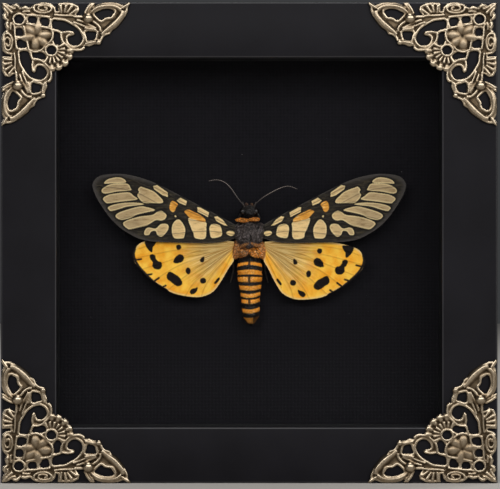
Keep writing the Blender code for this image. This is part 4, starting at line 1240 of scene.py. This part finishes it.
def addForm(bm, centre, half, detail, tiltDeg):  # a ball pulled to half sizes, slightly uneven
    tilt = Matrix.Rotation(math.radians(tiltDeg), 4, "Y")
    place = Matrix.Translation(centre) @ tilt @ Matrix.Diagonal((*half, 1.0))
    made = bmesh.ops.create_icosphere(bm, subdivisions=detail, radius=1.0, matrix=place)["verts"]
    for vert in inOrder(made):
        lump = noise.noise(vert.co * body["lumpsPerMm"]) * body["lumpHeight"]
        vert.co += (vert.co - Vector(centre)).normalized() * lump
        vert.co += Vector([hairRandom.gauss(0, body["wobble"]) for _ in range(3)])
    bmesh.ops.recalc_face_normals(bm, faces=bm.faces)
    return list({face for vert in made for face in vert.link_faces})


# Lobes of the thorax: middle, half sizes, detail, tilt, hair length, lift, band (0 dark, 1 orange).
thoraxLobes = {
    "trunk": ((0, 1.1, 0.6), (3.2, 2.7, 3.9), 5, 0, 0.55, 0.35, 0.0),
    "leftShoulder": ((-2.65, 0.5, 0.9), (1.15, 1.9, 2.9), 4, -10, 0.7, 0.3, 0.0),
    "rightShoulder": ((2.65, 0.5, 0.9), (1.15, 1.9, 2.9), 4, 10, 0.7, 0.3, 0.0),
    "leftRidge": ((-1.1, -1.1, 0.8), (0.95, 1.0, 2.6), 4, 6, 0.5, 0.25, 0.0),
    "rightRidge": ((1.1, -1.1, 0.8), (0.95, 1.0, 2.6), 4, -6, 0.5, 0.25, 0.0),
    "leftCollar": ((-1.95, -0.7, 4.65), (1.75, 1.5, 0.42), 4, 3, 0.3, 0.35, 1.0),
    "rightCollar": ((1.5, -0.7, 4.85), (1.5, 1.5, 0.42), 4, -3, 0.3, 0.35, 1.0),
    "leftRuff": ((-1.1, -0.7, -2.3), (1.4, 0.7, 0.3), 4, -24, 0.3, 0.4, 0.5),
    "rightRuff": ((1.6, -0.7, -2.3), (1.4, 0.7, 0.3), 4, 24, 0.3, 0.4, 0.5),
    "hindLeft": ((-1.75, 1.5, -4.4), (1.9, 2.1, 1.6), 4, 0, 0.6, 0.3, 0.5),
    "hindRight": ((1.7, 1.1, -4.6), (1.85, 2.1, 1.45), 4, 0, 0.45, 0.12, 1.0),
    "leftTuft": ((-3.3, 1.3, -3.4), (0.9, 1.2, 2.4), 4, 12, 0.9, 0.3, 0.6),
    "rightTuft": ((3.3, 1.3, -3.4), (0.9, 1.2, 2.4), 4, -12, 0.9, 0.3, 0.75),
}


def makeThorax(material):
    bm = bmesh.new()
    pin = edgesOf("mounting_pin")
    pinX, pinZ = (pin[0].x + pin[1].x) / 2, (pin[0].z + pin[1].z) / 2 - mothZ
    for centre, half, detail, tilt, length, lift, band in thoraxLobes.values():
        faces = addForm(bm, centre, half, detail, tilt)
        kept = []
        for face in faces:
            at = face.calc_center_median()
            if math.hypot(at.x - pinX, at.z - pinZ) > body["pinClear"] or at.y > 0:
                kept.append(face)
        growHair(bm, kept, length, lift, lambda at: (at.x * 0.12, -0.1, -1.0), lambda at: band)
    bmesh.ops.translate(bm, vec=(0, 0, mothZ), verts=bm.verts)
    bmesh.ops.scale(bm, vec=(mm, mm, mm), verts=bm.verts)
    finished(meshOf(bm, "thorax"), "thoraxFur", material, "dark_fur", "thorax")


headForms = {
    "crown": ((0, 0.6, 7.0), (1.75, 1.6, 1.35), 4, 0, 0.45, 0.45, 0.0),
    "leftPalp": ((-0.6, 0.9, 8.5), (0.35, 0.4, 0.8), 3, -8, 0.3, 0.3, 0.15),
    "rightPalp": ((0.6, 0.9, 8.5), (0.35, 0.4, 0.8), 3, 8, 0.3, 0.3, 0.15),
}


def makeHead(material):
    bm = bmesh.new()
    for centre, half, detail, tilt, length, lift, band in headForms.values():
        faces = addForm(bm, centre, half, detail, tilt)
        growHair(bm, faces, length, lift, lambda at: (at.x * 0.3, -0.3, 0.6), lambda at: band)
    bmesh.ops.translate(bm, vec=(0, 0, mothZ), verts=bm.verts)
    bmesh.ops.scale(bm, vec=(mm, mm, mm), verts=bm.verts)
    finished(meshOf(bm, "head"), "headFur", material, "dark_fur", "head")


def compoundEye():
    # A compound eye: hundreds of tiny lenses of dark brown cuticle, glossy like wet stone.
    made, tree, shader = newMaterial("Compound eye", Roughness=0.18, IOR=1.55)
    place = addNode(tree, "TexCoord").outputs["Object"]
    lenses = addNode(tree, "TexVoronoi", {"Vector": place, "Scale": 1 / (0.09 * mm)}).outputs["Distance"]
    tone = addNode(tree, "ValToRGB", {"Fac": lenses}, [(0.1, "#1E1714"), (0.7, "#0B0908")])
    bump = addNode(tree, "Bump", {"Height": lenses, "Strength": 0.4, "Distance": 0.02 * mm}, invert=True)
    tree.links.new(tone.outputs["Color"], shader.inputs["Base Color"])
    tree.links.new(bump.outputs["Normal"], shader.inputs["Normal"])
    return made


eyes = {"radius": 1.05, "out": 1.75, "depth": 0.6, "rise": 7.05}


def makeEyes():
    bm = bmesh.new()
    for side in (-1, 1):
        place = Matrix.Translation((side * eyes["out"], eyes["depth"], mothZ + eyes["rise"]))
        bmesh.ops.create_uvsphere(bm, u_segments=40, v_segments=24, radius=eyes["radius"], matrix=place)
    bmesh.ops.scale(bm, vec=(mm, mm, mm), verts=bm.verts)
    finished(meshOf(bm, "eyes"), "eyes", compoundEye(), "cuticle")


abdomen = {
    "depth": 1.5,
    "top": -4.55,
    "flat": 0.85,
    "leanDeg": 1.6,
    "around": 110,
    "down": 120,
    "hair": 0.24,
    "lift": 0.1,
    "skin": 0.95,  # the skin's half width, of the haired one
    "halfWidths": [  # distance below the top, half width
        (0.0, 2.6), (3.0, 3.55), (5.9, 3.75), (8.6, 3.5), (11.2, 3.05), (13.4, 2.85),
        (15.4, 2.75), (17.3, 2.55), (19.2, 2.2), (20.7, 1.5),
    ],
    "seamDepth": 0.07,  # of the half width, where two rings of the body meet
    "seamWidth": 0.35,
    "overrun": 0.3,  # the skin beyond the measured length, at each end
    "endFullness": 1.6,
    "bow": 0.08,
    "bowFrom": (9, 17),  # from and to, below the moth's line
    "bowShares": (-0.6, 1),
    "bandFade": 0.3,  # an orange band darkens by this towards its end
    "sideDepth": 1.1,
    "parted": (0, 2, 5),  # the bands that a black line parts in the middle
    "partWidth": 0.35,
    "tipX": -0.3,
    "tipHalfWidth": 1.3,
    "tipShade": 0.55,
    "tipFrom": (21, 23),
    "edgeBand": 0.1,
    "orangeBands": [  # from and to, below the moth's line
        (7.3, 8.2), (9.5, 10.9), (11.6, 13.1), (14.2, 15.5), (16.5, 17.6), (18.2, 19.3), (20.9, 22.0),
        (23.3, 24.9),
    ],
}


def abdomenBand(at):  # 1 where the hair is orange; the bands bow down towards the tip and stop at the sides
    bow = abdomen["bow"] * np.interp(-at.z, abdomen["bowFrom"], abdomen["bowShares"])
    below = -at.z + (at.x**2) * bow
    for number, (low, high) in enumerate(abdomen["orangeBands"]):
        if low < below < high:
            share = (below - low) / (high - low)
            parted = number in abdomen["parted"] and abs(at.x) < abdomen["partWidth"]
            last = number == len(abdomen["orangeBands"]) - 1
            beside = last and abs(at.x - abdomen["tipX"]) > abdomen["tipHalfWidth"]
            if parted or beside or at.y > abdomen["sideDepth"]:
                return abdomen["edgeBand"]
            tipShade = np.interp(low, abdomen["tipFrom"], (1, abdomen["tipShade"]))
            return (1.0 - abdomen["bandFade"] * share**2) * tipShade
    return 0.0


def makeAbdomen(material):
    bm = bmesh.new()
    bmesh.ops.create_uvsphere(bm, u_segments=abdomen["around"], v_segments=abdomen["down"], radius=1.0)
    length = abdomen["halfWidths"][-1][0]
    line = smoothLine(abdomen["halfWidths"], 6)
    seams = [distance for distance, _ in abdomen["halfWidths"][1:-1]]
    lean = Matrix.Rotation(math.radians(-abdomen["leanDeg"]), 3, "Y")
    for vert in inOrder(bm.verts):
        share = math.acos(max(-1, min(1, vert.co.z))) / math.pi
        along = share * (length + 2 * abdomen["overrun"]) - abdomen["overrun"]
        around = math.hypot(vert.co.x, vert.co.y)
        wide = np.interp(along, line[:, 0], line[:, 1]) * min(1.0, math.sqrt(around) * abdomen["endFullness"])
        offSeam = min(abs(along - seam) for seam in seams)
        nip = 1 - abdomen["seamDepth"] * math.exp(-((offSeam / abdomen["seamWidth"]) ** 2))
        reach = wide * nip * abdomen["skin"] / max(around, 1e-4)
        spot = Vector((vert.co.x * reach, vert.co.y * reach * abdomen["flat"], -along))
        spot += Vector([hairRandom.gauss(0, body["wobble"]) for _ in range(3)])
        vert.co = lean @ spot + Vector((0, abdomen["depth"], abdomen["top"]))
    bmesh.ops.recalc_face_normals(bm, faces=bm.faces)
    growHair(
        bm, bm.faces[:], abdomen["hair"], abdomen["lift"], lambda at: (at.x * 0.05, 0, -1.0), abdomenBand
    )
    bmesh.ops.translate(bm, vec=(0, 0, mothZ), verts=bm.verts)
    bmesh.ops.scale(bm, vec=(mm, mm, mm), verts=bm.verts)
    finished(meshOf(bm, "abdomen"), "abdomenFur", material, "banded_fur", "abdomen")


def makeBody():
    # The white and near-white top stops of these ramps are painted glints and painted highlights, mostly on the
    # hairs that face the viewer.
    greyFur = furScales(
        "Dark grey and russet fur", [(0.0, "#F07A1A"), (0.5, "#FFAC44"), (1.0, "#FFECC8")],
        [(0.0, "#241C18"), (0.5, "#584E4B"), (0.85, "#938A8A"), (0.95, "#CBC4C6"), (1.0, "#FFFFFF")],
        clumpSize=0.9, crackShade=0.25, gloss=0.4,
    )
    headFur = furScales(
        "Black and russet fur", [(0.0, "#A85A20"), (1.0, "#F0B070")],
        [(0.0, "#070505"), (0.84, "#221D1B"), (0.93, "#857D7A"), (1.0, "#FFFFFF")],
        clumpSize=1.0, crackShade=0.2, gloss=0.4,
    )
    bandedFur = furScales(
        "Orange and black banded fur",
        [(0.0, "#FF840A"), (0.5, "#FFAE30"), (0.75, "#FFD080"), (0.95, "#FFFCF0")],
        [(0.0, "#040302"), (0.85, "#0E0A08"), (0.93, "#8E867E"), (0.97, "#FFFFFF")],
        clumpSize=1.6, crackShade=0.75, gloss=0.3,
    )
    makeThorax(greyFur)
    makeHead(headFur)
    makeEyes()
    makeAbdomen(bandedFur)


makeBody()
print("the body is grown")


# Antennae and legs: (to the viewer's right, back towards the board, up from the moth's line), in mm

limbs = {
    "antennaRadius": 0.14,
    "antennaSegments": 46,
    "antennaTaper": 0.65,
    "antennaNotch": 0.82,  # the radius between two segments, of the full one
    "leftAntenna": [
        (-1.0, 0.3, 8.0), (-1.9, -0.2, 9.1), (-3.4, -0.7, 11.0), (-5.2, -1.0, 13.6), (-7.0, -1.1, 15.3),
        (-9.2, -0.9, 16.0), (-11.6, -0.5, 15.7),
    ],
    "rightAntenna": [
        (0.9, 0.3, 8.0), (1.7, -0.2, 9.0), (3.4, -0.7, 10.6), (5.9, -1.0, 12.2), (8.7, -1.1, 13.6),
        (11.2, -0.9, 14.2), (13.7, -0.5, 13.4),
    ],
    "foreleg": [(1.3, 3.2, 3.0), (2.9, 5.0, 5.2), (1.5, 5.4, 7.6), (1.9, 5.6, 9.8)],
    "midleg": [(2.0, 3.0, 0.9), (5.2, 4.9, 1.9), (6.9, 5.3, -1.0), (7.2, 5.6, -4.2)],
    "hindleg": [(1.8, 3.2, -1.9), (4.9, 5.0, -4.4), (4.5, 5.4, -9.2), (5.4, 5.6, -13.4)],
    "legRadii": (0.42, 0.34, 0.24, 0.12),
    "jointSwell": 0.25,
    "jointWaves": 3,  # two joints in each
    "jointPower": 6,
    "darkRoot": (2.0, 8.0),  # mm from the root, where its dark tone starts to fade and ends
}


def limbCuticle(name, light, dark, ring):
    # Insect cuticle with a thin coat of scales: horn-like, ringed pale and dark.
    made, tree, shader = newMaterial(name, Roughness=0.45, IOR=1.55)
    along = addNode(tree, "Attribute", attribute_name="along").outputs["Fac"]  # mm from the root
    wave = addNode(tree, "Math", {0: along, 1: math.tau / ring}, operation="MULTIPLY")
    wave = addNode(tree, "Math", {0: wave.outputs[0]}, operation="SINE")
    place = addNode(tree, "TexCoord").outputs["Object"]
    fleck = addNode(tree, "TexNoise", {"Vector": place, "Scale": 1 / (0.2 * mm), "Detail": 3})
    mixed = addNode(
        tree, "Math", {0: wave.outputs[0], 1: 0.3, 2: fleck.outputs["Fac"]}, operation="MULTIPLY_ADD"
    ).outputs[0]
    tone = addNode(tree, "ValToRGB", {"Fac": mixed}, [(0.3, dark), (0.7, light)]).outputs["Color"]
    start, end = limbs["darkRoot"]
    paler = addNode(
        tree, "MapRange", {"Value": along, "From Min": start, "From Max": end, "To Min": 0.15, "To Max": 1.0}
    ).outputs["Result"]
    faded = addNode(tree, "VectorMath", {0: tone, "Scale": paler}, operation="SCALE")
    bump = addNode(tree, "Bump", {"Height": mixed, "Strength": 0.5, "Distance": 0.03 * mm})
    tree.links.new(faded.outputs["Vector"], shader.inputs["Base Color"])
    tree.links.new(bump.outputs["Normal"], shader.inputs["Normal"])
    return made


def makeLimb(name, points, radii, material, node):
    drawn, curve = drawnCurve(name, "3D", bevel_depth=1.0, bevel_resolution=3, use_fill_caps=True)
    addSpline(curve, points, radii)
    mesh = evaluatedMesh(drawn, name)
    bm = bmesh.new()
    bm.from_mesh(mesh)
    bmesh.ops.remove_doubles(bm, verts=bm.verts, dist=0.0001)
    bmesh.ops.recalc_face_normals(bm, faces=bm.faces)
    bm.to_mesh(mesh)
    bm.free()
    places = placesOf(mesh)
    steps = np.concatenate([[0], np.cumsum(np.linalg.norm(np.diff(points, axis=0), axis=1))])
    nearest = np.argmin(np.linalg.norm(places[:, None] - np.array(points)[None], axis=2), axis=1)
    setValues(mesh, "along", steps[nearest])
    movePlaces(mesh, (places + (0, 0, mothZ)) * mm)
    finished(mesh, name, material, "cuticle", node)


def makeLimbs():
    antennaFinish = limbCuticle("Antenna cuticle", "#B7A99E", "#5A4E46", 0.5)
    legFinish = limbCuticle("Leg cuticle", "#3E3228", "#17120E", 2.0)
    for side in ("left", "right"):
        line = smoothLine(limbs[f"{side}Antenna"], 8)
        line = pointsAlong(line, np.linspace(0, 1, limbs["antennaSegments"] * 2 + 1))
        share = np.linspace(0, 1, len(line))
        radii = limbs["antennaRadius"] * (1 - limbs["antennaTaper"] * share)
        radii = radii * np.where(np.arange(len(line)) % 2, 1.0, limbs["antennaNotch"])
        makeLimb(f"{side}Antenna", line, radii, antennaFinish, f"{side}_antenna")
        for leg in ("foreleg", "midleg", "hindleg"):
            points = [(x * (-1 if side == "left" else 1), y, z) for x, y, z in limbs[leg]]
            line = smoothLine(points, 6)
            share = np.linspace(0, 1, len(line))
            swell = np.cos(share * math.tau * limbs["jointWaves"]) ** limbs["jointPower"]
            radii = np.interp(share, np.linspace(0, 1, 4), limbs["legRadii"])
            radii = radii * (1 + limbs["jointSwell"] * swell)
            makeLimb(f"{side}{leg.capitalize()}", line, radii, legFinish, f"{side}_{leg}")


makeLimbs()
print("antennae and legs are in place")
